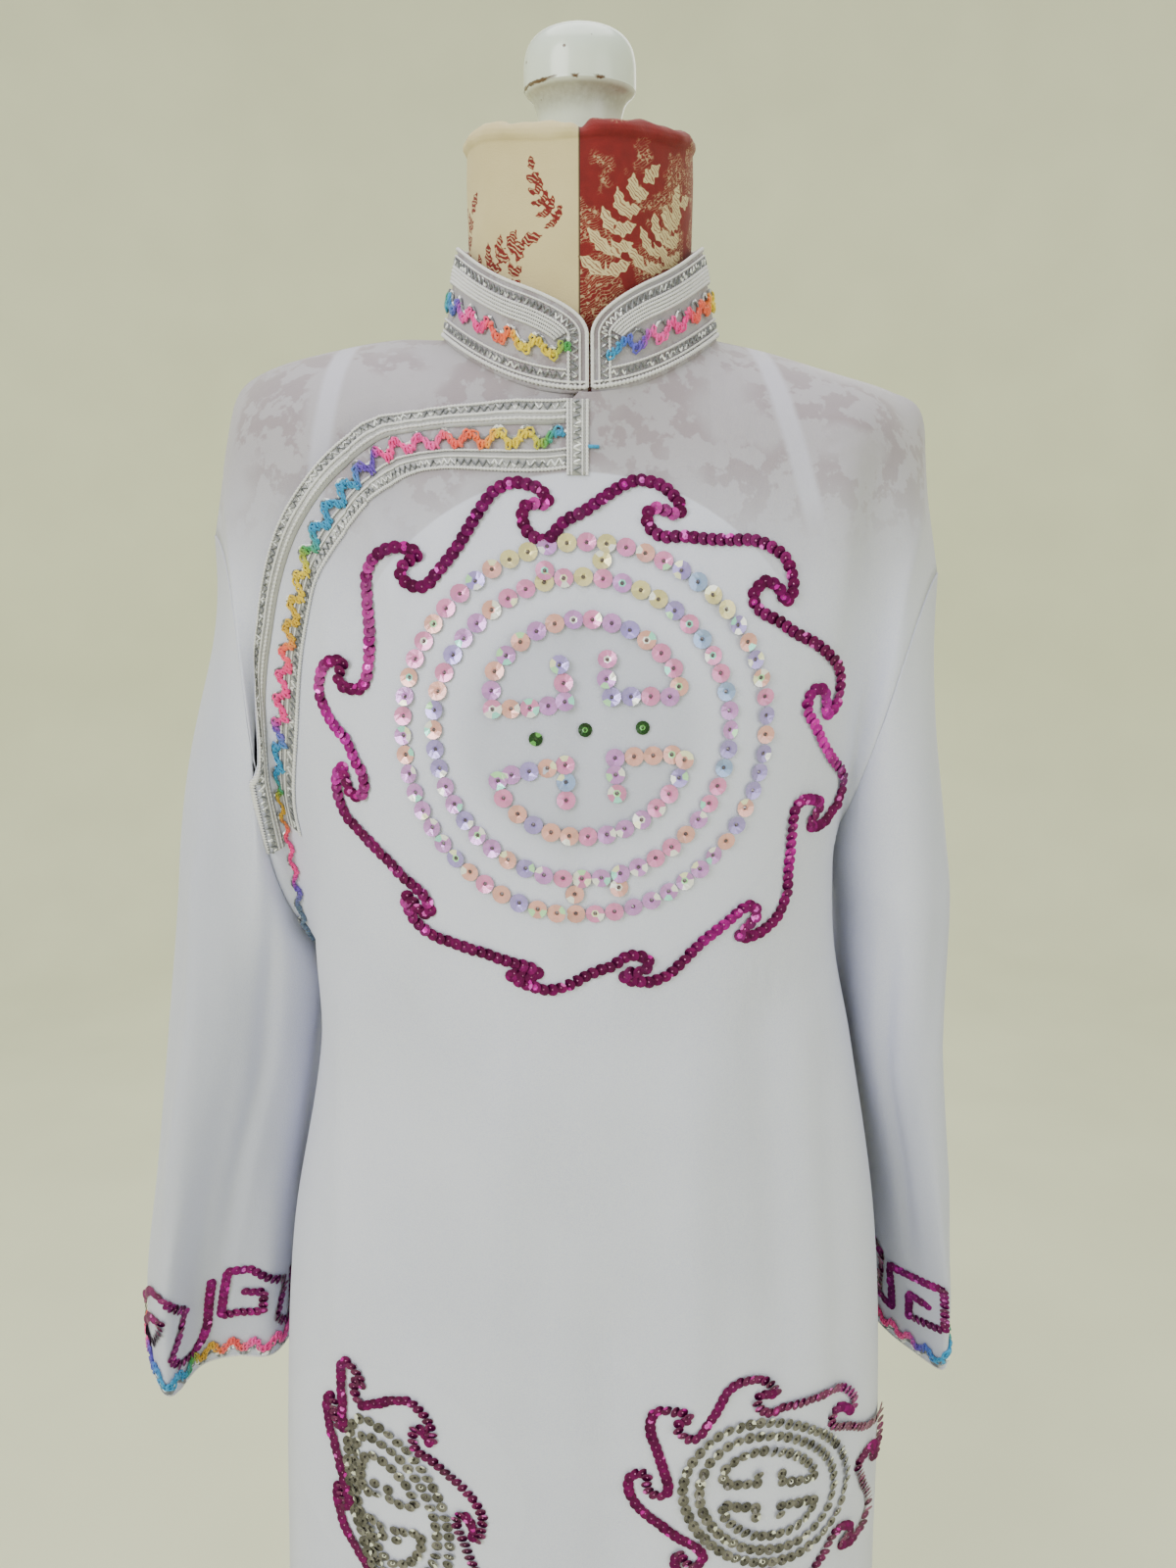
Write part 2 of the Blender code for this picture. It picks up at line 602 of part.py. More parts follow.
def underlap(knots, material, collection):
    """The right front that lies under the flap, from the neck and right shoulder."""
    rows = []
    columns = front_columns()[: FRONT_COLUMNS // 2] + [-0.01]
    for share in spread_evenly(9, 0, 1):
        row = []
        for u in columns:
            top = flap_v(knots, u)
            reach = UNDERLAP_REACH * (1 - smoothstep(*UNDERLAP_FADE, -u))
            v = max(SHOULDER_START, (top + reach) * share)
            near = u * (1 - UNDERLAP_CLEAR * smoothstep(*UNDERLAP_CLEAR_BY, v))
            sink = UNDERLAP_SINK * smoothstep(top - 0.06, top, v)
            row.append(cloth(FRONT, near, v) - outward(FRONT, near, v) * sink)
        rows.append(row)
    return walled("underlap", rows, WALL, material, collection)


def back_panel(material, collection):
    rows = []
    columns = spread_evenly(BACK_COLUMNS + 1, -1, 1)
    for share in chest_rows():
        rows.append([cloth(BACK, u, max(SHOULDER_START, share)) for u in columns])
    for v in spread_evenly(SKIRT_ROWS + 1, 1, 2)[1:]:
        rows.append([cloth(BACK, u, v) for u in columns])
    return walled("back", rows, WALL, material, collection)


def armhole(hand, share):
    """A point just outside the armhole. share 0 is its top, 0.25 its front, 0.5 the underarm."""
    side = FRONT if share <= 0.5 else BACK
    v = 2 * share if side == FRONT else 2 * (1 - share)
    lift = WALL + GAP + FACET
    if hand < 0:
        lift += LAP * smoothstep(*FLAP_STARTS, share) * smoothstep(*FLAP_ENDS, share)
        lift += TRIM_ROOM * bell(share - TRIMS_AT, TRIMS_REACH)
    return cloth(side, hand, v) + outward(side, hand, v) * lift


def round_outline(outline, share):
    """A point of a closed outline, on a smooth curve through its points."""
    count = len(outline)
    i = int(share * count) % count
    before, start, end, after = (outline[(i + n) % count] for n in (-1, 0, 1, 2))
    t = share * count - int(share * count)
    return (
        hermite(start.x, (end.x - before.x) / 2, end.x, (after.x - start.x) / 2, t),
        hermite(start.y, (end.y - before.y) / 2, end.y, (after.y - start.y) / 2, t),
    )


def oval(rows, share, z):
    """A point (x, y) of a sleeve's plain oval section at height z."""
    angle = share * 2 * math.pi
    x, y, depth, breadth = (read(rows, "z", column, z) for column in ("x", "y", "depth", "breadth"))
    turn = math.radians(read(rows, "z", "turn", z))
    out = breadth * math.cos(angle)
    ahead = depth * math.sin(angle)
    return (
        x + out * math.cos(turn) + ahead * math.sin(turn),
        y + out * math.sin(turn) - ahead * math.cos(turn),
    )


def hanging_point(rows, cuff, hand, share, z):
    """A point of the sleeve's hanging section at height z, with the folds of its cuff."""
    share = share % 1.0
    x, y = oval(rows, share, z)
    end_x, end_y = oval(rows, share, CUFF_Z)
    fold_x, fold_y = round_outline(cuff, share)
    folded = smoothstep(FOLD_TOP_Z, CUFF_Z, z)
    return Vector((hand * (x + (fold_x - end_x) * folded), y + (fold_y - end_y) * folded, z))


def sleeve_point(rows, cuff, hand, share, t):
    """A point of a sleeve: t is 0 at the armhole and 1 at the cuff's edge."""
    start = armhole(hand, share)
    z = start.z + (CUFF_Z - start.z) * t
    hanging = hanging_point(rows, cuff, hand, share, z)
    blend = SLEEVE_BLEND + (UNDERARM_BLEND - SLEEVE_BLEND) * bell(share - 0.5, 0.14)
    level = start.lerp(hanging, smoothstep(0, blend, t))
    level.z = z
    return level


def sleeve(name, rows, cuff, hand, material, collection):
    grid = []
    for i in range(SLEEVE_ROWS + 1):
        t = (i / SLEEVE_ROWS) ** 1.15
        ring = [sleeve_point(rows, cuff, hand, n / SLEEVE_COLUMNS, t) for n in range(SLEEVE_COLUMNS)]
        grid.append(ring + [ring[0].copy()])
    return walled(name, grid, WALL, material, collection, closed=True)


def collar_half_length():
    """Half of the collar's length along its base, and the angles round the neck at even lengths."""
    count = 240
    points = [collar_base(math.pi * i / count) for i in range(count + 1)]
    lengths = [0.0]
    for before, after in zip(points, points[1:]):
        lengths.append(lengths[-1] + (after - before).length)
    return lengths, count


def collar_base(angle):
    """The collar's seam on the neckline. angle is 0 at the centre front and pi at the back."""
    side = FRONT if math.cos(angle) >= 0 else BACK
    share = abs(angle) / (math.pi / 2) if side == FRONT else (math.pi - abs(angle)) / (math.pi / 2)
    point = neckline(side, share)
    point.x = math.copysign(point.x, angle)
    point.z += WALL / 2 + GAP + COLLAR_RAISED
    return point


def collar_height(length):
    """The collar's height at a length from its front edge."""
    rise = 1 - min(1.0, length / COLLAR_CORNER)
    return COLLAR_FRONT_HEIGHT + (COLLAR_HEIGHT - COLLAR_FRONT_HEIGHT) * math.sqrt(max(0.0, 1 - rise * rise))


def collar_angle(lengths, count, length):
    """The angle round the neck at a length from the centre front."""
    length = min(lengths[-1], max(0.0, length))
    i = max(n for n in range(count) if lengths[n] <= length)
    share = (length - lengths[i]) / (lengths[i + 1] - lengths[i])
    return math.pi * (i + share) / count


def collar_point(lengths, count, length, height, off=0.0):
    """A point of the collar, for a signed length from the centre front and a height above the seam."""
    angle = collar_angle(lengths, count, abs(length))
    base = collar_base(math.copysign(angle, length) if angle else 0.0)
    base.x = math.copysign(abs(base.x), length)
    lean = COLLAR_FRONT_LEAN + (COLLAR_LEAN - COLLAR_FRONT_LEAN) * math.sin(angle) ** 2
    inward = Vector((-base.x, -base.y, 0)).normalized()
    rise = height / COLLAR_HEIGHT
    point = base + inward * (lean * rise) + Vector((0, 0, height))
    tilt = Vector((0, 0, 1)) * (lean / COLLAR_HEIGHT)
    return point + (tilt - inward).normalized() * off


def collar_lengths(lengths, start):
    """Signed lengths from one front edge round the back to the other, closer at the front corners."""
    half = lengths[-1]
    shares = [0, 0.012, 0.03, 0.06, 0.10, 0.15, 0.21, 0.29, 0.38, 0.48, 0.58, 0.68, 0.78, 0.89, 1.0]
    right = [-(start + (half - start) * share) for share in shares]
    return right + [-value for value in reversed(right[:-1])]


def collar(lengths, count, material, collection):
    """The stand collar, open at the centre front, with rounded corners."""
    stations = collar_lengths(lengths, COLLAR_PARTING)
    rows = []
    for share in (0, 0.3, 0.6, 0.85, 1.0):
        row = []
        for length in stations:
            height = collar_height(abs(length) - COLLAR_PARTING) * share
            row.append(collar_point(lengths, count, length, height))
        rows.append(row)
    return walled("collar", rows, COLLAR_WALL, material, collection)


def collar_edge():
    """The collar's free edge as (length, height): up the front edge, round its corner, to the back."""
    rise = [(COLLAR_PARTING, height) for height in spread_evenly(5, 0.0005, COLLAR_FRONT_HEIGHT)]
    corner = []
    for step in range(1, 8):
        angle = step / 8 * math.pi / 2
        length = COLLAR_PARTING + COLLAR_CORNER * (1 - math.cos(angle))
        corner.append((length, collar_height(length - COLLAR_PARTING)))
    return rise + corner


def inset(path, distance):
    """A flat path of (length, height) moved to its right by a distance."""
    moved = []
    for i, (length, height) in enumerate(path):
        before, after = path[max(0, i - 1)], path[min(len(path) - 1, i + 1)]
        step = Vector((after[0] - before[0], after[1] - before[1])).normalized()
        moved.append((length + step.y * distance, height - step.x * distance))
    return moved


def collar_braids(lengths, count, material, collection):
    """The braid along the collar's free edge and the braid along its base."""
    half = lengths[-1]
    edge = collar_edge()
    straight = spread_evenly(14, COLLAR_PARTING + COLLAR_CORNER + 0.004, half)
    edge += [(length, COLLAR_HEIGHT) for length in straight]
    off = COLLAR_WALL / 2 + GAP + FACET + BRAID_THICK / 2
    rows = []
    for distance in COLLAR_TOP_BRAID:
        row = inset(edge, distance)
        row[-1] = (half, row[-1][1])
        whole = [(-length, height) for length, height in row] + [pair for pair in reversed(row[:-1])]
        rows.append([collar_point(lengths, count, length, height, off) for length, height in whole])
    walled("collar_braid_edge", rows, BRAID_THICK, material, collection)
    rows = []
    stations = collar_lengths(lengths, COLLAR_PARTING + COLLAR_TOP_BRAID[1] + 0.0008)
    for height in COLLAR_BASE_BRAID:
        rows.append([collar_point(lengths, count, length, height, off) for length in stations])
    walled("collar_braid_base", rows, BRAID_THICK, material, collection)


def wave_heights(total, start=0.0):
    """Stations of a rickrack: (distance, height) at each peak and trough along a length."""
    count = 2 * max(1, round(total / WAVE_LENGTH))
    return [(start + total * i / count, WAVE_REACH * (1 if i % 2 else -1)) for i in range(count + 1)]


def collar_rickrack(lengths, count, material, collection):
    half = lengths[-1]
    start = COLLAR_TOP_BRAID[1] + COLLAR_PARTING + 0.0015
    off = COLLAR_WALL / 2 + GAP + FACET + RICKRACK_THICK / 2
    stations = wave_heights(2 * (half - start), start - half)
    rows = []
    for ribbon in (-RICKRACK_HALF, RICKRACK_HALF):
        row = []
        for distance, height in stations:
            length = math.copysign(half - abs(distance), distance or 1)
            at = COLLAR_RICKRACK_AT + height * 0.85 + ribbon
            row.append(collar_point(lengths, count, length, at, off))
        rows.append(row)
    walled("collar_rickrack", rows, RICKRACK_THICK, material, collection)


Band = namedtuple("Band", "edge inner length underarm")


def band_width(at, underarm):
    """The band's width at a length along it, narrower where it turns down the side."""
    narrowing = smoothstep(underarm * NARROWING[0], underarm * NARROWING[1], at)
    return BAND_WIDTH + (BAND_WIDTH_SIDE - BAND_WIDTH) * narrowing


def placket_band(knots):
    """The trimmed band: places (u, v) along the flap's edge and opposite them along its inner side."""
    fine = []
    for i in range(121):
        u = -i / 120
        fine.append((u, flap_v(knots, u)))
    armhole_v = fine[-1][1]
    closure_v = 1 + (underarm_z(-1) - CLOSURE_END_Z) / (underarm_z(-1) - HEM_Z)
    for i in range(1, 41):
        fine.append((-1.0, armhole_v + (closure_v - armhole_v) * i / 40))
    points = [on_front(u, v) for u, v in fine]
    lengths = [0.0]
    for before, after in zip(points, points[1:]):
        lengths.append(lengths[-1] + (after - before).length)
    underarm = next(length for (u, v), length in zip(fine, lengths) if v >= 1)
    edge = []
    for at in spread_evenly(BAND_STATIONS, 0, lengths[-1]):
        i = max(n for n in range(len(fine) - 1) if lengths[n] <= at)
        share = (at - lengths[i]) / (lengths[i + 1] - lengths[i])
        edge.append(tuple(a + (b - a) * share for a, b in zip(fine[i], fine[i + 1])))
    inner = []
    for n, (u, v) in enumerate(edge):
        at = lengths[-1] * n / (BAND_STATIONS - 1)
        before, after = edge[max(0, n - 2)], edge[min(BAND_STATIONS - 1, n + 2)]
        across = outward(FRONT, u, v).cross(on_front(*after) - on_front(*before)).normalized()
        down = slopes(FRONT, u, v)[1].normalized()
        inner.append(walk(u, v, down.lerp(across, smoothstep(0.01, 0.06, at)), band_width(at, underarm)))
    for _ in range(8):
        middle = []
        for places in zip(inner, inner[1:], inner[2:]):
            middle.append(tuple((a + 2 * b + c) / 4 for a, b, c in zip(*places)))
        inner = [inner[0]] + middle + [inner[-1]]
    return Band(edge=edge, inner=inner, length=lengths[-1], underarm=underarm)


def on_band(band, at, share, off):
    """A point of the band, at a length along it and a share of its width, standing off the cloth."""
    place = max(0.0, min(1.0, at / band.length)) * (BAND_STATIONS - 1)
    i = min(BAND_STATIONS - 2, int(place))
    t = place - i
    near = [a + (b - a) * t for a, b in zip(band.edge[i], band.edge[i + 1])]
    far = [a + (b - a) * t for a, b in zip(band.inner[i], band.inner[i + 1])]
    u, v = (a + (b - a) * share for a, b in zip(near, far))
    return on_front(u, v, off)


def placket_trims(knots, silver, rainbow, collection):
    """Two braids and a rickrack along the flap's edge, and the short braid that ends them at the neck."""
    band = placket_band(knots)
    start = -END_BRAID_X[0] + END_BRAID_ROOM
    stop = band.underarm - BRAIDS_STOP
    for name, shares in (("placket_braid_outer", OUTER_BRAID), ("placket_braid_inner", INNER_BRAID)):
        rows = []
        for share in shares:
            stations = spread_evenly(34, start, stop)
            rows.append([on_band(band, at, share, LIE_ON + BRAID_THICK / 2) for at in stations])
        walled(name, rows, BRAID_THICK, silver, collection)
    rows = []
    for ribbon in (-RICKRACK_HALF, RICKRACK_HALF):
        row = []
        for at, height in wave_heights(band.length - start - 0.006, start + 0.001):
            share = PLACKET_RICKRACK_AT + (height + ribbon) / band_width(at, band.underarm)
            row.append(on_band(band, at, share, LIE_ON + RICKRACK_THICK / 2))
        rows.append(row)
    walled("placket_rickrack", rows, RICKRACK_THICK, rainbow, collection)
    rows = []
    for x in END_BRAID_X:
        places = [find_on_front(x, z) for z in spread_evenly(5, *END_BRAID_Z)]
        rows.append([on_front(u, v, LIE_ON + BRAID_THICK / 2) for u, v in places])
    walled("placket_braid_end", rows, BRAID_THICK, silver, collection)


def cuff_rickrack(name, rows, cuff, hand, material, collection):
    """A rickrack ring just above the cuff's edge."""
    count = 2 * 19
    reach = []
    for ribbon in (-RICKRACK_HALF, RICKRACK_HALF):
        ring = []
        for n in range(count):
            share = n / count
            height = CUFF_RICKRACK_AT + WAVE_REACH * (1 if n % 2 else -1) * 0.8 + ribbon
            point = hanging_point(rows, cuff, hand, share, CUFF_Z + height)
            ahead = hanging_point(rows, cuff, hand, share + 0.004, CUFF_Z + height)
            behind = hanging_point(rows, cuff, hand, share - 0.004, CUFF_Z + height)
            normal = (ahead - behind).cross(Vector((0, 0, 1))).normalized()
            ring.append(point - normal * hand * (LIE_ON + FACET + RICKRACK_THICK / 2))
        reach.append(ring + [ring[0].copy()])
    return walled(name, reach, RICKRACK_THICK, material, collection, closed=True)


def backing_disc(disc, material, collection):
    """A disc of stiff cloth close behind the front."""
    around, rings = 22, 4
    centre_u, centre_v = find_on_front(disc.x, disc.z)
    along_u, along_v = slopes(FRONT, centre_u, centre_v)
    across = along_u.normalized()
    down = (along_v - across * along_v.dot(across)).normalized()
    off = -(WALL / 2 + GAP + FACET + DISC_WALL / 2)
    rows = []
    for ring in range(1, rings + 1):
        radius = disc.radius * ring / rings
        row = []
        for n in range(around):
            angle = 2 * math.pi * n / around
            direction = across * math.cos(angle) + down * math.sin(angle)
            u, v = walk(centre_u, centre_v, direction, radius)
            row.append(on_front(u, v, off))
        rows.append(row + [row[0].copy()])
    obj = new_object(disc.name, surface_mesh(disc.name, rows, closed=True), material, collection)
    builder = bmesh.new()
    builder.from_mesh(obj.data)
    centre = builder.verts.new(on_front(centre_u, centre_v, off))
    builder.verts.ensure_lookup_table()
    for edge in [edge for edge in builder.edges if edge.is_boundary]:
        if (edge.verts[0].co - centre.co).length < disc.radius * 0.4:
            builder.faces.new((*edge.verts, centre))
    bmesh.ops.recalc_face_normals(builder, faces=builder.faces)
    builder.to_mesh(obj.data)
    builder.free()
    solidify = obj.modifiers.new("thickness", "SOLIDIFY")
    solidify.thickness = DISC_WALL
    solidify.offset = 0.0
    return obj


def torso(material, collection):
    """The padded form, as level rings from its underside to the top of the neck."""
    around = 30
    mesh = bpy.data.meshes.new("form_torso")
    builder = bmesh.new()
    rings = []
    for ring in FORM_RINGS:
        verts = []
        for n in range(around):
            angle = 2 * math.pi * n / around
            depth = ring.front if math.cos(angle) > 0 else ring.back
            across = math.sin(angle)
            ahead = math.copysign(abs(math.cos(angle)) ** ring.squareness, math.cos(angle))
            verts.append(builder.verts.new((ring.half_width * across, -depth * ahead, ring.z)))
        rings.append(verts)
    for lower, upper in zip(rings, rings[1:]):
        for n in range(around):
            after = (n + 1) % around
            builder.faces.new((lower[n], upper[n], upper[after], lower[after]))
    builder.faces.new(rings[0])
    builder.faces.new(list(reversed(rings[-1])))
    bmesh.ops.recalc_face_normals(builder, faces=builder.faces)
    builder.to_mesh(mesh)
    builder.free()
    mesh.shade_smooth()
    return new_object("form_torso", mesh, material, collection)


def turned(name, profile, steps, material, collection):
    """A turned piece: its profile, from the top down, swept round the axis."""
    mesh = bpy.data.meshes.new(name)
    builder = bmesh.new()
    verts = [builder.verts.new((point.radius, 0, point.z)) for point in profile]
    for before, after in zip(verts, verts[1:]):
        builder.edges.new((before, after))
    builder.to_mesh(mesh)
    builder.free()
    obj = new_object(name, mesh, material, collection)
    screw = obj.modifiers.new("turning", "SCREW")
    screw.steps = steps
    screw.render_steps = steps
    screw.use_merge_vertices = True
    screw.merge_threshold = 0.0001
    screw.use_smooth_shade = True
    return obj


def main():
    clear_scene()
    robe = bpy.data.collections.new("cheongsam_on_form")
    bpy.context.scene.collection.children.link(robe)
    white = finish("crepe", WHITE, 0.55)
    stiff = finish("stiff_cloth", WHITE, 0.7)
    silver = finish("silver_braid", SILVER, 0.3, 0.7)
    rainbow = finish("rainbow_yarn", RAINBOW, 0.8)
    cover = finish("printed_cover", CREAM, 0.85)
    paint = finish("white_paint", PAINT, 0.35)

    knots = [FlapKnot(along=-u, v=v) for u, v in flap_top()]
    lengths, count = collar_half_length()
    front_panel(knots, white, robe)
    underlap(knots, white, robe)
    back_panel(white, robe)
    sleeve("sleeve_left", LEFT_SLEEVE, LEFT_CUFF, 1, white, robe)
    sleeve("sleeve_right", RIGHT_SLEEVE, RIGHT_CUFF, -1, white, robe)
    collar(lengths, count, white, robe)
    collar_braids(lengths, count, silver, robe)
    collar_rickrack(lengths, count, rainbow, robe)
    placket_trims(knots, silver, rainbow, robe)
    cuff_rickrack("cuff_rickrack_left", LEFT_SLEEVE, LEFT_CUFF, 1, rainbow, robe)
    cuff_rickrack("cuff_rickrack_right", RIGHT_SLEEVE, RIGHT_CUFF, -1, rainbow, robe)
    for disc in DISCS:
        backing_disc(disc, stiff, robe)
    torso(cover, robe)
    turned("form_knob", KNOB, 28, paint, robe)
    turned("stand_pole", STAND, 20, paint, robe)
    turned("stand_base", BASE, 36, paint, robe)


main()
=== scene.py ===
"""Looks of a side-closing cheongsam robe on an upholstered dress form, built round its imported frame.

Metres, +Z up, the front faces -Y and the wearer's left is at +X. A place on the robe's body is (side, u, v):
u runs from -1 at the wearer's right edge through 0 at the centre line to +1 at the left edge, and v from 0
at the neck and shoulder line through 1 at the underarm to 2 at the hem. Surfaces are worked out for whole
arrays of places at once.
"""

import math

import bmesh
import bpy
import numpy as np
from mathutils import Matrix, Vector


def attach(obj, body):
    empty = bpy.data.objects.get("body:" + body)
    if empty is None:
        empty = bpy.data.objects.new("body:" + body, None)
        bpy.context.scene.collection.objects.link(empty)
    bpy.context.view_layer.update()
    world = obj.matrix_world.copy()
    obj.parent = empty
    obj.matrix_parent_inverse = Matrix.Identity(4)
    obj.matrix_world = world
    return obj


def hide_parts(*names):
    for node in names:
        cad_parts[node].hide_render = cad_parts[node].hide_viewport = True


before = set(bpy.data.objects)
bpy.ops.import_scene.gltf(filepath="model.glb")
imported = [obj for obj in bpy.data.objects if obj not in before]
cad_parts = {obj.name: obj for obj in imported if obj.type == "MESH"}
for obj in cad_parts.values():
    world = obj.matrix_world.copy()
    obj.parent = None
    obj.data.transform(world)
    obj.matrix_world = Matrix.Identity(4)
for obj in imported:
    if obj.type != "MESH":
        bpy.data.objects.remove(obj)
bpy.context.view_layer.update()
bpy.ops.object.select_all(action="DESELECT")

FRONT, BACK = -1, 1
LEFT, RIGHT = 1, -1

# Cloth, seams and heights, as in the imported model
WALL = 0.0012
CLOTH_WALL = 0.0007  # the visible cloth, thinner than the solid's wall
SEWN_ON = 0.0004  # how far a sleeve's edge stands off the armhole
GAP = 0.0003
SEAM = 0.00028
FACET = 0.0006
LAP = WALL + GAP + 2 * FACET
SHOULDER_START = 0.0016
FRONT_NECK_Z = 1.356
SIDE_NECK_Z = 1.385
BACK_NECK_Z = 1.399
UNDERARM_Z = 1.117
UNDERARM_DROP = 0.062
CLOSURE_END_Z = 1.035
SLIT_TOP_Z = 0.66
HEM_Z = 0.205
CUFF_Z = 0.752
NECK_HALF_WIDTH = 0.0695
NECK_FRONT = 0.066
NECK_BACK = 0.062
COLLAR_CLOTH = 0.0014  # the visible collar's wall
COLLAR_HEIGHT = 0.042
COLLAR_FRONT_HEIGHT = 0.024
COLLAR_CORNER = 0.034
COLLAR_LEAN = 0.0085
COLLAR_FRONT_LEAN = 0.003
COLLAR_PARTING = 0.0009
COLLAR_RAISED = 0.0004
PARTING_AT = 0.0048  # how far to the wearer's left of the middle the collar's front edges meet
SLIT_OPEN = 0.014
SLIT_SPREAD = 0.35
U_NECK = 0.42
CORNER_REACH = 0.12
CORNER_FADE = 0.28
FRONT_SQUARENESS = 0.80
BACK_SQUARENESS = 0.72
FOLDS_END_U = 0.86
LAP_FADE_U = (0.12, -0.04)
LAP_FADE_Z = 0.90

# Rows of u, x, y, z along the shoulder seam and down to the top of each sleeve
RIDGE_LEFT = np.array([
    (0.42, 0.0695, 0.002, 1.385), (0.52, 0.098, 0.004, 1.379), (0.64, 0.133, 0.006, 1.369),
    (0.76, 0.164, 0.006, 1.360), (0.84, 0.1810, 0.005, 1.349), (0.92, 0.186, 0.003, 1.312),
    (1.00, 0.195, 0.001, 1.266),
])
RIDGE_RIGHT = np.array([
    (0.42, 0.0695, 0.002, 1.385), (0.52, 0.098, 0.004, 1.385), (0.64, 0.133, 0.006, 1.379),
    (0.76, 0.165, 0.006, 1.370), (0.84, 0.1815, 0.005, 1.357), (0.92, 0.190, 0.003, 1.324),
    (1.00, 0.198, 0.001, 1.286),
])

# Rows of z, half width, sway, front depth, back depth of the robe below the underarm
SECTIONS = np.array([
    (0.205, 0.219, -0.002, 0.158, 0.160), (0.40, 0.207, -0.002, 0.150, 0.152),
    (0.60, 0.197, -0.001, 0.142, 0.146), (0.75, 0.191, 0.001, 0.135, 0.140),
    (0.88, 0.179, 0.002, 0.130, 0.131), (1.00, 0.155, 0.004, 0.126, 0.114),
    (1.06, 0.148, -0.002, 0.124, 0.107), (1.117, 0.146, -0.004, 0.121, 0.102),
    (1.18, 0.144, -0.003, 0.116, 0.099),
])

# Rows of u, then the way in which a column leaves the shoulder line and reaches the underarm's level,
# each as left, away from the shoulder seam and down
FRONT_RUNS = np.array([
    (-1.00, 0.12, 0.24, 0.03, 0.10, -0.20, 0.12),
    (-0.84, 0.00, 0.27, 0.03, 0.04, 0.00, 0.30),
    (-0.64, 0.00, 0.31, 0.02, 0.00, 0.02, 0.40),
    (-0.42, -0.03, 0.26, 0.08, 0.00, 0.02, 0.34),
    (0.00, 0.00, 0.09, 0.24, 0.00, 0.01, 0.24),
    (0.42, 0.03, 0.26, 0.08, 0.00, 0.02, 0.34),
    (0.64, 0.00, 0.31, 0.02, 0.00, 0.02, 0.40),
    (0.84, -0.03, 0.27, 0.04, -0.01, 0.00, 0.30),
    (1.00, -0.10, 0.23, 0.03, -0.03, -0.20, 0.12),
])
BACK_RUNS = np.array([
    (-1.00, 0.09, 0.22, 0.03, 0.07, -0.20, 0.12),
    (-0.84, 0.00, 0.25, 0.04, 0.02, 0.00, 0.30),
    (-0.64, 0.00, 0.30, 0.01, 0.00, 0.00, 0.38),
    (-0.42, -0.03, 0.25, 0.04, 0.00, 0.00, 0.34),
    (0.00, 0.00, 0.14, 0.16, 0.00, 0.00, 0.28),
    (0.42, 0.03, 0.25, 0.04, 0.00, 0.00, 0.34),
    (0.64, 0.00, 0.30, 0.01, 0.00, 0.00, 0.38),
    (0.84, -0.02, 0.25, 0.04, -0.02, 0.00, 0.30),
    (1.00, -0.05, 0.22, 0.03, -0.05, -0.20, 0.12),
])

# Rows of side, u, reach, height and top z of the skirt's long folds
FOLDS = (
    (FRONT, -0.62, 0.17, 0.016, 1.02),
    (FRONT, -0.20, 0.16, -0.012, 1.10),
    (FRONT, 0.26, 0.20, 0.009, 0.98),
    (FRONT, 0.64, 0.13, -0.007, 0.85),
    (FRONT, 0.88, 0.10, 0.008, 0.80),
    (BACK, -0.66, 0.14, 0.014, 0.95),
    (BACK, -0.28, 0.15, -0.012, 1.00),
    (BACK, 0.10, 0.15, 0.013, 1.05),
    (BACK, 0.50, 0.14, -0.010, 0.95),
    (BACK, 0.80, 0.11, 0.010, 0.90),
)

# The flap's free edge as x, z from the centre of the neck to the right armhole
FLAP_EDGE = np.array([
    (0.0000, 1.3535), (-0.0300, 1.3520), (-0.0550, 1.3490), (-0.0790, 1.3458), (-0.1000, 1.3428),
    (-0.1155, 1.3315), (-0.1320, 1.3140), (-0.1462, 1.2930), (-0.1560, 1.2680), (-0.1632, 1.2400),
])
FLAP_MEETS_ARMHOLE_V = 0.56
UNDERLAP_REACH = 0.14
UNDERLAP_SINK = 0.0009
UNDERLAP_FADE = (0.78, 1.0)
UNDERLAP_CLEAR = 0.09

# Rows of z, x, y, depth, breadth, turn of the sleeves' hanging sections
LEFT_SLEEVE = np.array([
    (0.752, 0.2150, 0.036, 0.056, 0.020, 24), (0.82, 0.2095, 0.024, 0.056, 0.021, 21),
    (0.90, 0.2010, 0.014, 0.056, 0.0195, 12), (1.00, 0.1870, 0.006, 0.056, 0.026, 5),
    (1.117, 0.1780, 0.002, 0.055, 0.031, 2), (1.20, 0.1740, 0.001, 0.054, 0.031, 0),
    (1.27, 0.1700, 0.001, 0.052, 0.027, 0),
])
RIGHT_SLEEVE = np.array([
    (0.752, 0.2410, 0.014, 0.050, 0.046, 8), (0.82, 0.2350, 0.012, 0.051, 0.046, 8),
    (0.90, 0.2215, 0.009, 0.052, 0.044, 6), (1.00, 0.2035, 0.006, 0.053, 0.045, 3),
    (1.117, 0.1870, 0.002, 0.054, 0.043, 0), (1.20, 0.1860, 0.001, 0.054, 0.040, 0),
    (1.27, 0.1780, 0.001, 0.052, 0.030, 0),
])
SLEEVE_BLEND = 0.32
UNDERARM_BLEND = 0.12
UNDERARM_SPREAD = 0.14
FOLD_TOP_Z = 1.14

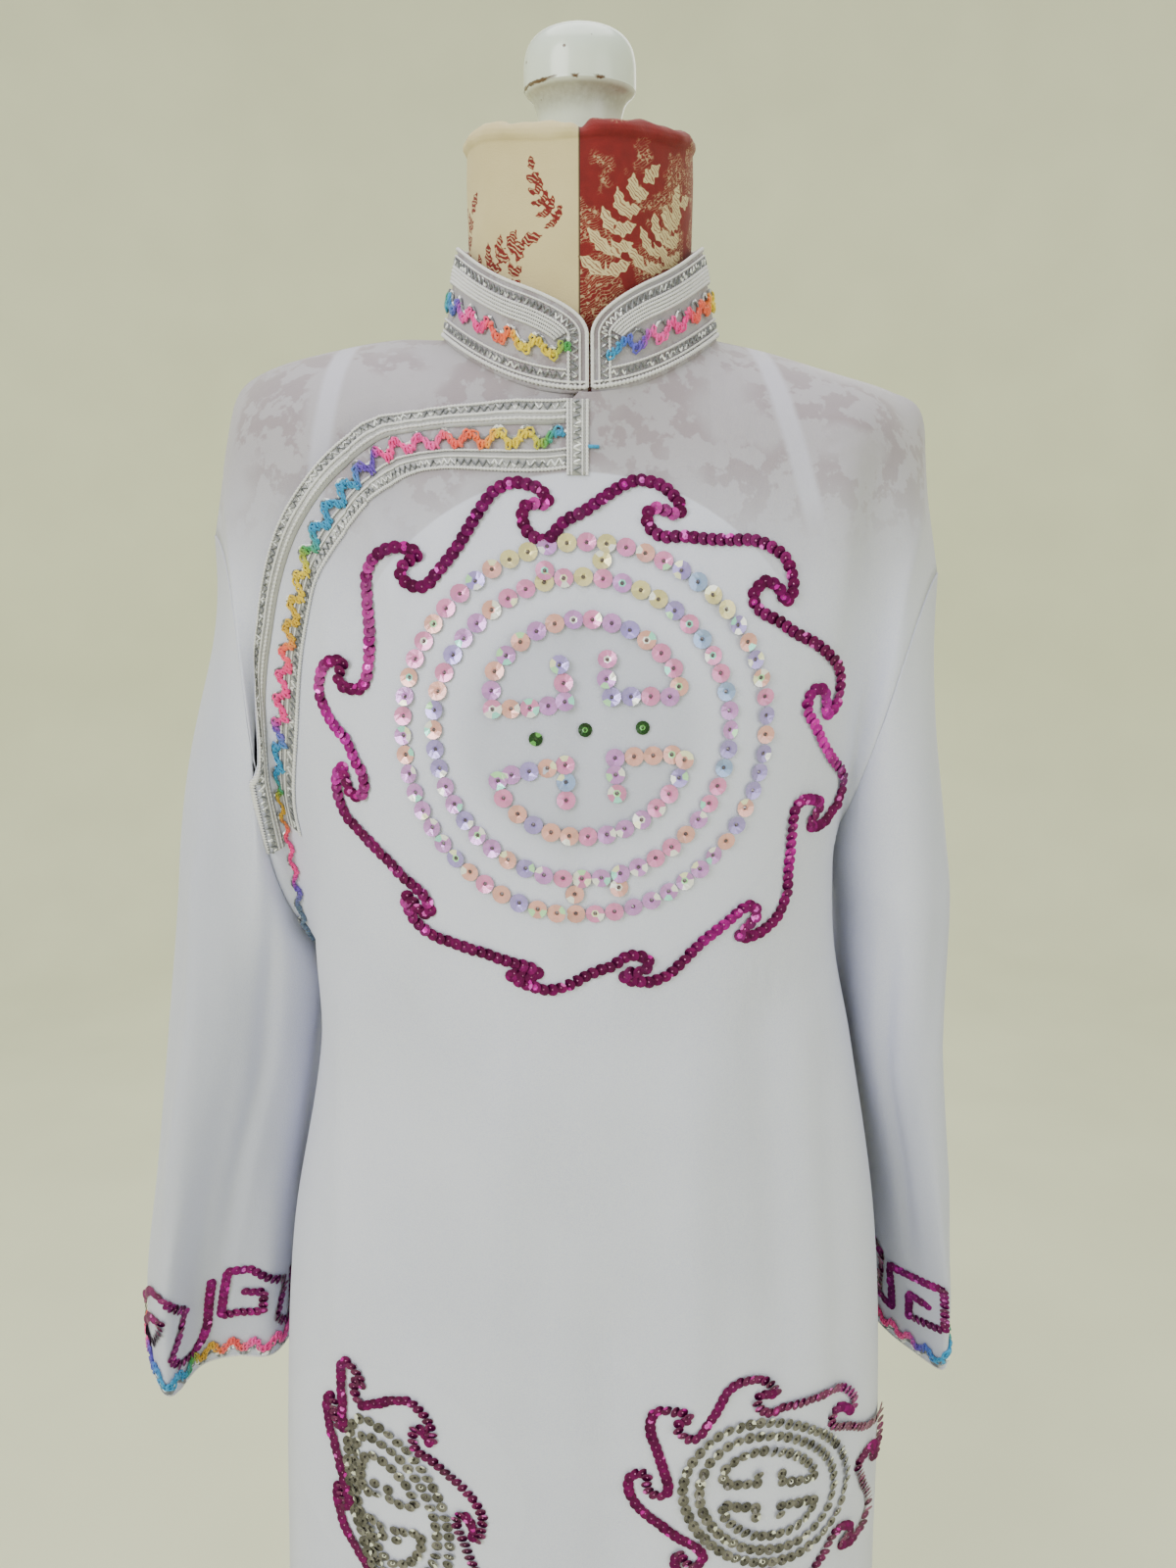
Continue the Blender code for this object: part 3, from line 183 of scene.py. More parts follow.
# The cuffs' outlines from above, as x away from the centre line and y, from the outer side round by the front
LEFT_CUFF = np.array([
    (0.238, 0.014), (0.240, -0.003), (0.236, -0.018), (0.221, 0.001), (0.209, 0.019), (0.201, 0.040),
    (0.197, 0.064), (0.193, 0.097), (0.208, 0.108), (0.231, 0.072),
])
RIGHT_CUFF = np.array([
    (0.289, 0.018), (0.283, -0.013), (0.2645, -0.038), (0.250, -0.015), (0.226, -0.013), (0.204, -0.009),
    (0.197, 0.022), (0.204, 0.050), (0.238, 0.062), (0.275, 0.053),
])
SLEEVES = {LEFT: (LEFT_SLEEVE, LEFT_CUFF), RIGHT: (RIGHT_SLEEVE, RIGHT_CUFF)}

# The trimmed band along the flap's edge
BAND_WIDTH = 0.0330
BAND_WIDTH_SIDE = 0.0132
NARROWING = (0.74, 1.00)
BAND_STATIONS = 48


def smooth(start, end, at):
    share = np.clip((np.asarray(at, float) - start) / (end - start), 0.0, 1.0)
    return share * share * (3 - 2 * share)


def bell(offset, spread):
    return np.exp(-((offset / spread) ** 2))


def hermite(start, start_run, end, end_run, t):
    """A cubic curve between two points, or two numbers, that leaves and arrives with the given runs."""
    t2 = t * t
    t3 = t2 * t
    leaving = start * (2 * t3 - 3 * t2 + 1) + start_run * (t3 - 2 * t2 + t)
    return leaving + end * (3 * t2 - 2 * t3) + end_run * (t3 - t2)


def read(table, at):
    """A table's other columns at values of its first one, on smooth curves through its rows."""
    keys, values = table[:, 0], table[:, 1:]
    count = len(keys)
    at = np.clip(np.asarray(at, float), keys[0], keys[-1])
    i = np.clip(np.searchsorted(keys, at, side="right") - 1, 0, count - 2)
    low = np.maximum(np.arange(count) - 1, 0)
    high = np.minimum(np.arange(count) + 1, count - 1)
    slopes_at = (values[high] - values[low]) / (keys[high] - keys[low])[:, None]
    span = (keys[i + 1] - keys[i])[..., None]
    t = (at - keys[i])[..., None] / span
    return hermite(values[i], slopes_at[i] * span, values[i + 1], slopes_at[i + 1] * span, t)


def unit(vectors):
    return vectors / np.maximum(np.linalg.norm(vectors, axis=-1, keepdims=True), 1e-12)


def point(*coordinates):
    return np.stack(np.broadcast_arrays(*coordinates), axis=-1).astype(float)


def running_length(points, axis=0):
    """How far along its line each point is, for a line or for all the rows or columns of a grid."""
    strides = np.linalg.norm(np.diff(points, axis=axis), axis=-1)
    return np.concatenate([np.zeros_like(strides.take([0], axis)), np.cumsum(strides, axis)], axis)


def at_lengths(at, lengths, values):
    """Each column of the values, read off at lengths along their line."""
    return np.stack([np.interp(at, lengths, column) for column in values.T], axis=-1)


def neckline(side, share):
    """The left half of the neckline, from the centre at share 0 to the shoulder seam at 1."""
    angle = share * math.pi / 2
    seam_y = RIDGE_LEFT[0, 2]
    depth, centre_z = (NECK_FRONT, FRONT_NECK_Z) if side == FRONT else (NECK_BACK, BACK_NECK_Z)
    return point(
        NECK_HALF_WIDTH * np.sin(angle),
        seam_y + side * (depth + side * -seam_y) * np.cos(angle),
        centre_z + (SIDE_NECK_Z - centre_z) * np.sin(angle) ** 2,
    )


def shoulder_line(side, u):
    """The line that the columns of cloth hang from."""
    size = np.abs(u)
    beyond = np.where((u > 0)[..., None], read(RIDGE_LEFT, size), read(RIDGE_RIGHT, size))
    line = np.where((size <= U_NECK)[..., None], neckline(side, np.minimum(size / U_NECK, 1.0)), beyond)
    line[..., 0] = np.copysign(line[..., 0], u)
    return line


def eased_shoulder_line(side, u):
    """The shoulder line without the sharp corner at the end of the neckline."""
    reach = np.minimum(CORNER_REACH, 1 - np.abs(u))
    return sum(shoulder_line(side, u + shift * reach) for shift in (-1, -0.5, 0, 0.5, 1)) / 5


def underarm_z(u):
    return UNDERARM_Z - UNDERARM_DROP * smooth(-0.50, -1.0, u)


def height_at(u, v):
    top = underarm_z(u)
    return top + (HEM_Z - top) * (v - 1)


def fold_height(side, u, z):
    """How far the skirt's long folds push the cloth outwards."""
    total = 0.0
    for fold_side, fold_u, reach, height, top_z in FOLDS:
        if fold_side == side:
            total = total + height * smooth(top_z, HEM_Z, z) * bell(u - fold_u, reach)
    return total * (1 - smooth(FOLDS_END_U, 1.0, np.abs(u)))


def level_point(side, u, z):
    """The robe's level section at height z."""
    angle = np.abs(u) * math.pi / 2
    half_width, sway, front_depth, back_depth = np.moveaxis(read(SECTIONS, z), -1, 0)
    depth, squareness = (front_depth, FRONT_SQUARENESS) if side == FRONT else (back_depth, BACK_SQUARENESS)
    edge = SEAM + SLIT_OPEN * smooth(SLIT_TOP_Z, HEM_Z, z) * bell(1 - np.abs(u), SLIT_SPREAD)
    push = fold_height(side, u, z)
    across = np.copysign((half_width + push) * np.sin(angle), u) + sway
    forward = edge + (depth - edge) * np.maximum(0.0, np.cos(angle)) ** squareness + push * np.cos(angle)
    return point(across, side * forward, z)


def cloth(side, u, v):
    """The robe's own surface at places (side, u, v)."""
    u, v = (array.astype(float) for array in np.broadcast_arrays(u, v))
    level = level_point(side, u, height_at(u, np.maximum(v, 1.0)))
    t = np.clip(v, 0.0, 1.0)[..., None]
    eased = eased_shoulder_line(side, u)
    corner = (shoulder_line(side, u) - eased) * np.maximum(0.0, 1 - t / CORNER_FADE) ** 3
    runs = read(FRONT_RUNS if side == FRONT else BACK_RUNS, u) * np.array((1, side, -1, 1, side, -1))
    chest = hermite(eased, runs[..., :3], level_point(side, u, underarm_z(u)), runs[..., 3:], t) + corner
    return np.where((v >= 1)[..., None], level, chest)


def slopes(side, u, v):
    """The surface's two directions, per unit of u and of v."""
    step = 0.002
    low_u, high_u = np.maximum(-1.0, u - step), np.minimum(1.0, u + step)
    low_v, high_v = np.maximum(0.0, v - step), np.minimum(2.0, v + step)
    along_u = (cloth(side, high_u, v) - cloth(side, low_u, v)) / np.asarray(high_u - low_u)[..., None]
    along_v = (cloth(side, u, high_v) - cloth(side, u, low_v)) / np.asarray(high_v - low_v)[..., None]
    return along_u, along_v


def outward(side, u, v):
    along_u, along_v = slopes(side, np.clip(u, -0.995, 0.995), np.maximum(0.004, v))
    return unit(np.cross(along_u, along_v)) * side


def lap_lift(u, v):
    """How far the overlapping front stands off: all of it on the wearer's right, none on the left."""
    below = smooth(LAP_FADE_Z, CLOSURE_END_Z, height_at(u, np.maximum(1.0, v)))
    return LAP * smooth(*LAP_FADE_U, u) * below


SEARCH_ROUNDS = 30
SEARCH_PACE = 0.7
SEARCH_STRIDE = 0.2


def find_on_front(x, z):
    """The (u, v) of the front whose points have these x and z, closed in on from a first guess."""
    x, z = (array.astype(float) for array in np.broadcast_arrays(x, z))
    u = np.clip(x / 0.16, -0.95, 0.95)
    v = np.where(z > UNDERARM_Z, 0.6, 1 + (UNDERARM_Z - z) / (UNDERARM_Z - HEM_Z))
    for _ in range(SEARCH_ROUNDS):
        along_u, along_v = slopes(FRONT, u, v)
        place = cloth(FRONT, u, v)
        miss_x, miss_z = x - place[..., 0], z - place[..., 2]
        scale = along_u[..., 0] * along_v[..., 2] - along_v[..., 0] * along_u[..., 2]
        step_u = (miss_x * along_v[..., 2] - miss_z * along_v[..., 0]) / scale
        step_v = (miss_z * along_u[..., 0] - miss_x * along_u[..., 2]) / scale
        u = np.clip(u + SEARCH_PACE * np.clip(step_u, -SEARCH_STRIDE, SEARCH_STRIDE), -1.0, 1.0)
        v = np.clip(v + SEARCH_PACE * np.clip(step_v, -SEARCH_STRIDE, SEARCH_STRIDE), 0.0, 2.0)
    return u, v


def walk(u, v, direction, distance, steps=30):
    """Goes a distance over the front from (u, v), straight ahead in a direction of space."""
    stride = (np.asarray(distance, float) / steps)[..., None]
    for _ in range(steps):
        along_u, along_v = slopes(FRONT, u, v)
        normal = unit(np.cross(along_u, along_v))
        direction = unit(direction - normal * (direction * normal).sum(-1, keepdims=True))
        ahead = direction * stride
        pairs = ((along_u, along_u), (along_u, along_v), (along_v, along_v))
        uu, uv, vv = ((a * b).sum(-1) for a, b in pairs)
        ahead_u, ahead_v = (ahead * along_u).sum(-1), (ahead * along_v).sum(-1)
        scale = uu * vv - uv * uv
        u = np.clip(u + (ahead_u * vv - ahead_v * uv) / scale, -1.0, 1.0)
        v = np.clip(v + (ahead_v * uu - ahead_u * uv) / scale, 0.0, 2.0)
    return u, v


# Soft creases of the cloth: x, z of the ends and of the bend between them, how wide and how high, all to be
# deepened by CREASE_DEPTH. Heights below 0 are troughs
CREASE_DEPTH = 1.5
FRONT_CREASES = (
    ((0.004, 1.275), (0.000, 1.160), (0.006, 1.020), 0.010, -0.0016),
    ((-0.108, 1.318), (-0.092, 1.285), (-0.083, 1.235), 0.006, 0.0014),
    ((-0.092, 1.322), (-0.078, 1.296), (-0.072, 1.262), 0.005, -0.0010),
    ((-0.128, 1.290), (-0.118, 1.230), (-0.120, 1.150), 0.008, 0.0018),
    ((0.150, 1.345), (0.142, 1.270), (0.128, 1.170), 0.011, -0.0022),
    ((0.122, 1.352), (0.132, 1.240), (0.138, 1.090), 0.012, 0.0018),
    ((0.090, 1.090), (0.104, 0.960), (0.118, 0.780), 0.016, -0.0030),
    ((0.052, 1.060), (0.060, 0.900), (0.056, 0.700), 0.014, 0.0022),
    ((-0.030, 1.060), (-0.046, 0.880), (-0.052, 0.640), 0.017, 0.0026),
    ((-0.082, 1.100), (-0.090, 0.960), (-0.086, 0.800), 0.012, -0.0024),
    ((-0.118, 1.080), (-0.130, 0.930), (-0.142, 0.760), 0.010, 0.0022),
    ((0.010, 0.930), (0.018, 0.730), (0.012, 0.420), 0.016, -0.0030),
    ((0.128, 1.050), (0.146, 0.900), (0.160, 0.700), 0.010, -0.0024),
    ((-0.100, 0.640), (-0.112, 0.460), (-0.120, 0.225), 0.018, -0.0034),
    ((0.090, 0.620), (0.100, 0.430), (0.112, 0.230), 0.017, 0.0032),
)
BACK_CREASES = (
    ((0.006, 1.330), (-0.002, 1.200), (0.004, 1.000), 0.013, -0.0022),
    ((-0.090, 1.330), (-0.080, 1.230), (-0.086, 1.080), 0.011, 0.0020),
    ((0.086, 1.335), (0.096, 1.220), (0.090, 1.070), 0.010, 0.0022),
    ((-0.130, 1.290), (-0.124, 1.190), (-0.116, 1.060), 0.009, -0.0020),
    ((0.134, 1.300), (0.122, 1.180), (0.120, 1.040), 0.010, -0.0022),
    ((0.040, 1.060), (0.052, 0.880), (0.048, 0.620), 0.016, 0.0030),
    ((-0.046, 1.040), (-0.056, 0.850), (-0.068, 0.600), 0.015, -0.0030),
    ((-0.102, 1.000), (-0.114, 0.820), (-0.122, 0.560), 0.014, 0.0028),
    ((0.100, 1.010), (0.116, 0.840), (0.126, 0.610), 0.013, -0.0026),
    ((0.000, 0.700), (0.010, 0.480), (0.004, 0.230), 0.018, 0.0034),
    ((-0.150, 0.700), (-0.160, 0.500), (-0.168, 0.240), 0.014, -0.0026),
)


def crease_height(creases, across, down):
    """How far the creases push the cloth outwards at flat places (across, down)."""
    total = np.zeros(np.shape(across))
    stations = np.linspace(0.0, 1.0, 25)[:, None]
    for start, bend, end, width, height in creases:
        start, bend, end = (np.array(place) for place in (start, bend, end))
        control = 2 * bend - (start + end) / 2
        line = start * (1 - stations) ** 2 + control * 2 * stations * (1 - stations) + end * stations ** 2
        near = np.full(np.shape(across), 9.0)
        along = np.zeros(np.shape(across))
        for share, place in zip(stations[:, 0], line):
            distance = np.hypot(across - place[0], (down - place[1]) * 0.6)
            closer = distance < near
            near = np.where(closer, distance, near)
            along = np.where(closer, share, along)
        fade = smooth(0.0, 0.22, along) * smooth(1.0, 0.70, along)
        total = total + CREASE_DEPTH * height * fade * bell(near, width)
    return total


def dressed_front(u, v, off=0.0):
    """The visible front, moved out from its middle by off."""
    u, v = (array.astype(float) for array in np.broadcast_arrays(u, v))
    place = cloth(FRONT, u, v)
    push = lap_lift(u, v) + crease_height(FRONT_CREASES, place[..., 0], place[..., 2]) + off
    return place + outward(FRONT, u, v) * push[..., None]


def flap_top():
    """The flap's edge as matching rows of -u and v, from the centre line to the right armhole."""
    u, v = find_on_front(FLAP_EDGE[:, 0], FLAP_EDGE[:, 1])
    return np.array([(0.0, v[0]), *zip(-u[1:], v[1:]), (1.0, FLAP_MEETS_ARMHOLE_V)])


KNOTS = flap_top()


def flap_v(u):
    return np.where(u >= 0, 0.0, np.maximum(0.0, read(KNOTS, -u)[..., 0]))


def armhole(hand, share):
    """The armhole's seam on the panels' edges. share 0 is its top, 0.25 its front, 0.5 the underarm."""
    v = 1 - np.abs(1 - 2 * share)
    side_u = np.full(np.shape(v), float(hand))
    over = lap_lift(side_u, v) * smooth(FLAP_MEETS_ARMHOLE_V - 0.05, FLAP_MEETS_ARMHOLE_V + 0.02, v) + SEWN_ON
    ahead = cloth(FRONT, hand, v) + outward(FRONT, hand, v) * over[..., None]
    behind = cloth(BACK, hand, v) + outward(BACK, hand, v) * SEWN_ON
    turned_back = smooth(0.5, 0.56, share)[..., None]
    return np.where((share <= 0.5)[..., None], ahead, ahead + (behind - ahead) * turned_back)


def round_outline(outline, share):
    """A closed outline on a smooth curve through its points."""
    count = len(outline)
    place = share * count
    i = np.floor(place).astype(int) % count
    before, start, end, after = (outline[(i + n) % count] for n in (-1, 0, 1, 2))
    return hermite(start, (end - before) / 2, end, (after - start) / 2, (place - np.floor(place))[..., None])


def oval(rows, share, z):
    angle = share * 2 * math.pi
    x, y, depth, breadth, turn = np.moveaxis(read(rows, z), -1, 0)
    turn = np.radians(turn)
    out, ahead = breadth * np.cos(angle), depth * np.sin(angle)
    return point(x + out * np.cos(turn) + ahead * np.sin(turn), y + out * np.sin(turn) - ahead * np.cos(turn))


def hanging_point(hand, share, z):
    """The sleeve's hanging section at height z, with the folds of its cuff."""
    rows, cuff = SLEEVES[hand]
    share, z = np.broadcast_arrays(np.mod(share, 1.0), z)
    folded = smooth(FOLD_TOP_Z, CUFF_Z, z)[..., None]
    at_cuff = round_outline(cuff, share) - oval(rows, share, np.full(z.shape, CUFF_Z))
    flat = oval(rows, share, z) + at_cuff * folded
    return point(hand * flat[..., 0], flat[..., 1], z)


def sleeve_point(hand, share, t):
    """A sleeve's surface: t is 0 at the armhole and 1 at the cuff's edge."""
    share, t = np.broadcast_arrays(share, t)
    start = armhole(hand, share)
    z = start[..., 2] + (CUFF_Z - start[..., 2]) * t
    blend = SLEEVE_BLEND + (UNDERARM_BLEND - SLEEVE_BLEND) * bell(share - 0.5, UNDERARM_SPREAD)
    level = start + (hanging_point(hand, share, z) - start) * smooth(0.0, 1.0, t / blend)[..., None]
    level[..., 2] = z
    return level


def collar_base(angle):
    """The collar's seam on the neckline. angle is 0 at the centre front and pi at the back."""
    size = np.abs(angle)
    front = neckline(FRONT, size / (math.pi / 2))
    back = neckline(BACK, (math.pi - size) / (math.pi / 2))
    seam = np.where((np.cos(angle) >= 0)[..., None], front, back)
    seam[..., 0] = np.copysign(seam[..., 0], angle)
    seam[..., 2] += WALL / 2 + GAP + COLLAR_RAISED
    return seam


NECK_ANGLES = np.linspace(0.0, math.pi, 241)
NECK_LENGTHS = running_length(collar_base(NECK_ANGLES))
COLLAR_HALF = NECK_LENGTHS[-1]


def collar_height(length):
    """The collar's height at lengths from its front edge, where its corner is rounded."""
    rise = 1 - np.minimum(1.0, np.maximum(length, 0.0) / COLLAR_CORNER)
    rounded = np.sqrt(np.maximum(0.0, 1 - rise * rise))
    return COLLAR_FRONT_HEIGHT + (COLLAR_HEIGHT - COLLAR_FRONT_HEIGHT) * rounded


def collar_point(length, height, off=0.0):
    """The collar, for signed lengths from the centre front and heights above its seam."""
    length, height, off = (array.astype(float) for array in np.broadcast_arrays(length, height, off))
    angle = np.interp(np.abs(length), NECK_LENGTHS, NECK_ANGLES)
    base = collar_base(np.copysign(angle, length))
    lean = COLLAR_FRONT_LEAN + (COLLAR_LEAN - COLLAR_FRONT_LEAN) * np.sin(angle) ** 2
    inward = unit(point(-base[..., 0], -base[..., 1], 0.0))
    rise = point(0.0, 0.0, height)
    tilt = point(0.0, 0.0, lean / COLLAR_HEIGHT) - inward
    return base + inward * (lean * height / COLLAR_HEIGHT)[..., None] + rise + unit(tilt) * off[..., None]


def band_width(at, underarm):
    narrowed = smooth(underarm * NARROWING[0], underarm * NARROWING[1], at)
    return BAND_WIDTH + (BAND_WIDTH_SIDE - BAND_WIDTH) * narrowed


def lapped(u, v):
    """The front as it laps over, without its creases."""
    return cloth(FRONT, u, v) + outward(FRONT, u, v) * lap_lift(u, v)[:, None]


def placket_band():
    """The trimmed band: rows of u, v along the flap's edge and, matching them, along its inner side."""
    across = -np.linspace(0.0, 1.0, 121)
    fine = np.stack([across, flap_v(across)], axis=-1)
    fine[0, 1] = KNOTS[0, 1]
    closure_v = 1 + (underarm_z(-1.0) - CLOSURE_END_Z) / (underarm_z(-1.0) - HEM_Z)
    down = np.linspace(fine[-1, 1], closure_v, 41)[1:]
    fine = np.concatenate([fine, np.stack([np.full(40, -1.0), down], axis=-1)])
    lengths = running_length(lapped(*fine.T))
    underarm = lengths[np.argmax(fine[:, 1] >= 1)]
    at = np.linspace(0.0, lengths[-1], BAND_STATIONS)
    edge = at_lengths(at, lengths, fine)
    u, v = edge.T
    around = np.arange(BAND_STATIONS)
    after = edge[np.minimum(around + 2, BAND_STATIONS - 1)]
    before = edge[np.maximum(around - 2, 0)]
    square = unit(np.cross(outward(FRONT, u, v), lapped(*after.T) - lapped(*before.T)))
    fall = unit(slopes(FRONT, u, v)[1])
    direction = fall + (square - fall) * smooth(0.01, 0.06, at)[:, None]
    inner = np.stack(walk(u, v, direction, band_width(at, underarm)), axis=-1)
    for _ in range(8):
        inner[1:-1] = (inner[:-2] + 2 * inner[1:-1] + inner[2:]) / 4
    return edge, inner, lengths[-1], underarm


BAND_EDGE, BAND_INNER, BAND_LENGTH, BAND_UNDERARM = placket_band()


def on_band(at, share, off):
    """The band, at lengths along it and shares of its width, standing off the visible cloth."""
    at, share = np.broadcast_arrays(at, share)
    stations = np.linspace(0.0, BAND_LENGTH, BAND_STATIONS)
    near, far = at_lengths(at, stations, BAND_EDGE), at_lengths(at, stations, BAND_INNER)
    place = near + (far - near) * share[..., None]
    return dressed_front(place[..., 0], place[..., 1], off)


# Making meshes


def smooth_ring(points, step):
    """More points on a smooth closed curve through the given ones."""
    points = np.asarray(points, float)
    before, ends, after = (np.roll(points, shift, axis=0)[:, None] for shift in (1, -1, -2))
    starts = points[:, None]
    t = np.linspace(0.0, 1.0, step, endpoint=False)[None, :, None]
    line = hermite(starts, (ends - before) / 2, ends, (after - starts) / 2, t)
    return line.reshape(-1, points.shape[1])


def mesh_object(name, points, faces, material, uvs=None, smooth_shade=True):
    """A mesh from arrays of points and faces, with one UV pair for each point."""
    mesh = bpy.data.meshes.new(name)
    faces = faces.tolist() if isinstance(faces, np.ndarray) else faces
    mesh.from_pydata(np.asarray(points).reshape(-1, 3).tolist(), [], faces)
    if uvs is not None:
        layer = mesh.uv_layers.new(name="UVMap")
        corners = np.zeros(len(mesh.loops), dtype=np.int64)
        mesh.loops.foreach_get("vertex_index", corners)
        layer.data.foreach_set("uv", np.asarray(uvs, float).reshape(-1, 2)[corners].ravel())
    if smooth_shade:
        mesh.shade_smooth()
    mesh.materials.append(material)
    obj = bpy.data.objects.new(name, mesh)
    bpy.context.scene.collection.objects.link(obj)
    return obj


def face_outwards(mesh, fill_holes=False):
    """Turns a mesh's faces outwards, and closes it first where that is asked."""
    builder = bmesh.new()
    builder.from_mesh(mesh)
    if fill_holes:
        bmesh.ops.holes_fill(builder, edges=[edge for edge in builder.edges if edge.is_boundary], sides=0)
    bmesh.ops.recalc_face_normals(builder, faces=builder.faces)
    builder.to_mesh(mesh)
    builder.free()


def paint(mesh, tints, domain):
    """Gives a mesh a colour for each point or each corner, as the attribute tint."""
    layer = mesh.color_attributes.new("tint", "FLOAT_COLOR", domain)
    layer.data.foreach_set("color", np.column_stack([tints, np.ones(len(tints))]).ravel())


def grid_faces(rows, columns, flip=False, closed=False):
    """Quads over a grid. closed joins the last column, which repeats the first, to the first."""
    down, across = np.meshgrid(np.arange(rows - 1), np.arange(columns - 1), indexing="ij")
    width = columns - 1 if closed else columns
    right = (across + 1) % width
    above, below = down * width, (down + 1) * width
    quads = np.stack([above + across, below + across, below + right, above + right], axis=-1).reshape(-1, 4)
    return quads[:, ::-1] if flip else quads


def give_wall(obj, thickness):
    """Thickens a sheet by as much to either side."""
    solidify = obj.modifiers.new("wall", "SOLIDIFY")
    solidify.thickness = thickness
    solidify.offset = 0.0
    bpy.ops.object.select_all(action="DESELECT")
    bpy.context.view_layer.objects.active = obj
    obj.select_set(True)
    bpy.ops.object.modifier_apply(modifier=solidify.name)
    obj.select_set(False)


def sheet_object(name, grid, material, flip=False, closed=False, wall=CLOTH_WALL):
    """A thin shell of cloth through a grid of points, with its UVs in metres along its rows and columns."""
    rows, columns = grid.shape[:2]
    across = running_length(grid, 1)
    uvs = np.stack([across - across[:, columns // 2][:, None], running_length(grid, 0)], axis=-1)
    if closed:
        grid, uvs = grid[:, :-1], uvs[:, :-1]
    obj = mesh_object(name, grid, grid_faces(rows, columns, flip, closed), material, uvs)
    give_wall(obj, wall)
    return obj


# Finishes

dice = np.random.default_rng(27)


def seen(*channels):
    """A colour as the eye reads it, 0 to 255, turned into the shader's own numbers."""
    return tuple(((c / 255 + 0.055) / 1.055) ** 2.4 if c > 10 else c / 255 / 12.92 for c in channels)


def socket_name(word):
    return word.replace("_", " ").title().replace("Ior", "IOR")


class Value:
    """A socket of a finish, which can be used in sums."""

    def __init__(self, finish, socket):
        self.finish = finish
        self.socket = socket

    def __add__(self, other):
        return self.finish.sum_of("ADD", self, other)

    def __sub__(self, other):
        return self.finish.sum_of("SUBTRACT", self, other)

    def __mul__(self, other):
        return self.finish.sum_of("MULTIPLY", self, other)

    def __rsub__(self, other):
        return self.finish.sum_of("SUBTRACT", other, self)

    __radd__ = __add__
    __rmul__ = __mul__


class Finish:
    """A material in the making: its nodes and the shader that they end in."""

    def __init__(self, name, roughness=0.5, **fixed):
        self.material = bpy.data.materials.new(name)
        self.material.use_nodes = True
        self.tree = self.material.node_tree
        self.shader = self.tree.nodes["Principled BSDF"]
        self.shader.inputs["Roughness"].default_value = roughness
        for socket, value in fixed.items():
            self.shader.inputs[socket_name(socket)].default_value = value

    def connect(self, target, value):
        """Links a value to a socket, or sets the socket to a plain number or tuple."""
        if isinstance(value, Value):
            self.tree.links.new(value.socket, target)
        else:
            target.default_value = value

    def node(self, kind, settings, sockets, out=0):
        """A node of a type, with its settings first and then the values or links of its sockets."""
        node = self.tree.nodes.new(kind)
        for name, value in settings.items():
            setattr(node, name, value)
        for name, value in sockets.items():
            self.connect(node.inputs[name], value)
        return Value(self, node.outputs[out])

    def sum_of(self, operation, first, second=0.0):
        return self.node("ShaderNodeMath", {"operation": operation}, {0: first, 1: second})

    def size(self, value):
        return self.sum_of("ABSOLUTE", value)

    def larger(self, first, second):
        return self.sum_of("MAXIMUM", first, second)

    def distance(self, across, up):
        return self.sum_of("SQRT", across * across + up * up)

    def mix(self, share, first, second, blend="MIX"):
        """Two colours mixed. Each is an RGB tuple or a Value."""
        colours = [value if isinstance(value, Value) else (*value, 1.0) for value in (first, second)]
        settings = {"data_type": "RGBA", "blend_type": blend, "clamp_factor": True}
        return self.node("ShaderNodeMix", settings, {0: share, 6: colours[0], 7: colours[1]}, out=2)

    def between(self, value, low, high):
        """0 below low and 1 above high, smooth in between. Turned round when low is above high."""
        if low > high:
            return 1.0 - self.between(value, high, low)
        settings = {"interpolation_type": "SMOOTHSTEP"}
        return self.node("ShaderNodeMapRange", settings, {0: value, 1: low, 2: high, 3: 0.0, 4: 1.0})

    def place(self):
        return self.node("ShaderNodeTexCoord", {}, {}, out=3)

    def attribute(self, name, out=2):
        return self.node("ShaderNodeAttribute", {"attribute_name": name}, {}, out=out)

    def parts(self, vector):
        node = self.tree.nodes.new("ShaderNodeSeparateXYZ")
        self.connect(node.inputs[0], vector)
        return [Value(self, socket) for socket in node.outputs]

    def scaled(self, vector, scale):
        return self.node("ShaderNodeMapping", {}, {0: vector, 3: scale})

    def noise(self, vector, scale, detail=2.0, roughness=0.5):
        sockets = {"Vector": vector, "Scale": scale, "Detail": detail, "Roughness": roughness}
        return self.node("ShaderNodeTexNoise", {}, sockets)

    def cells(self, vector, scale, out=0):
        return self.node("ShaderNodeTexVoronoi", {}, {"Vector": vector, "Scale": scale}, out=out)

    def bump(self, height, distance, strength, under=None):
        sockets = {"Height": height, "Distance": distance, "Strength": strength}
        if under is not None:
            sockets["Normal"] = under
        return self.node("ShaderNodeBump", {}, sockets)

    def feed(self, **links):
        """Links values to the shader's sockets and gives back the finished material."""
        for socket, value in links.items():
            self.connect(self.shader.inputs[socket_name(socket)], value)
        return self.material


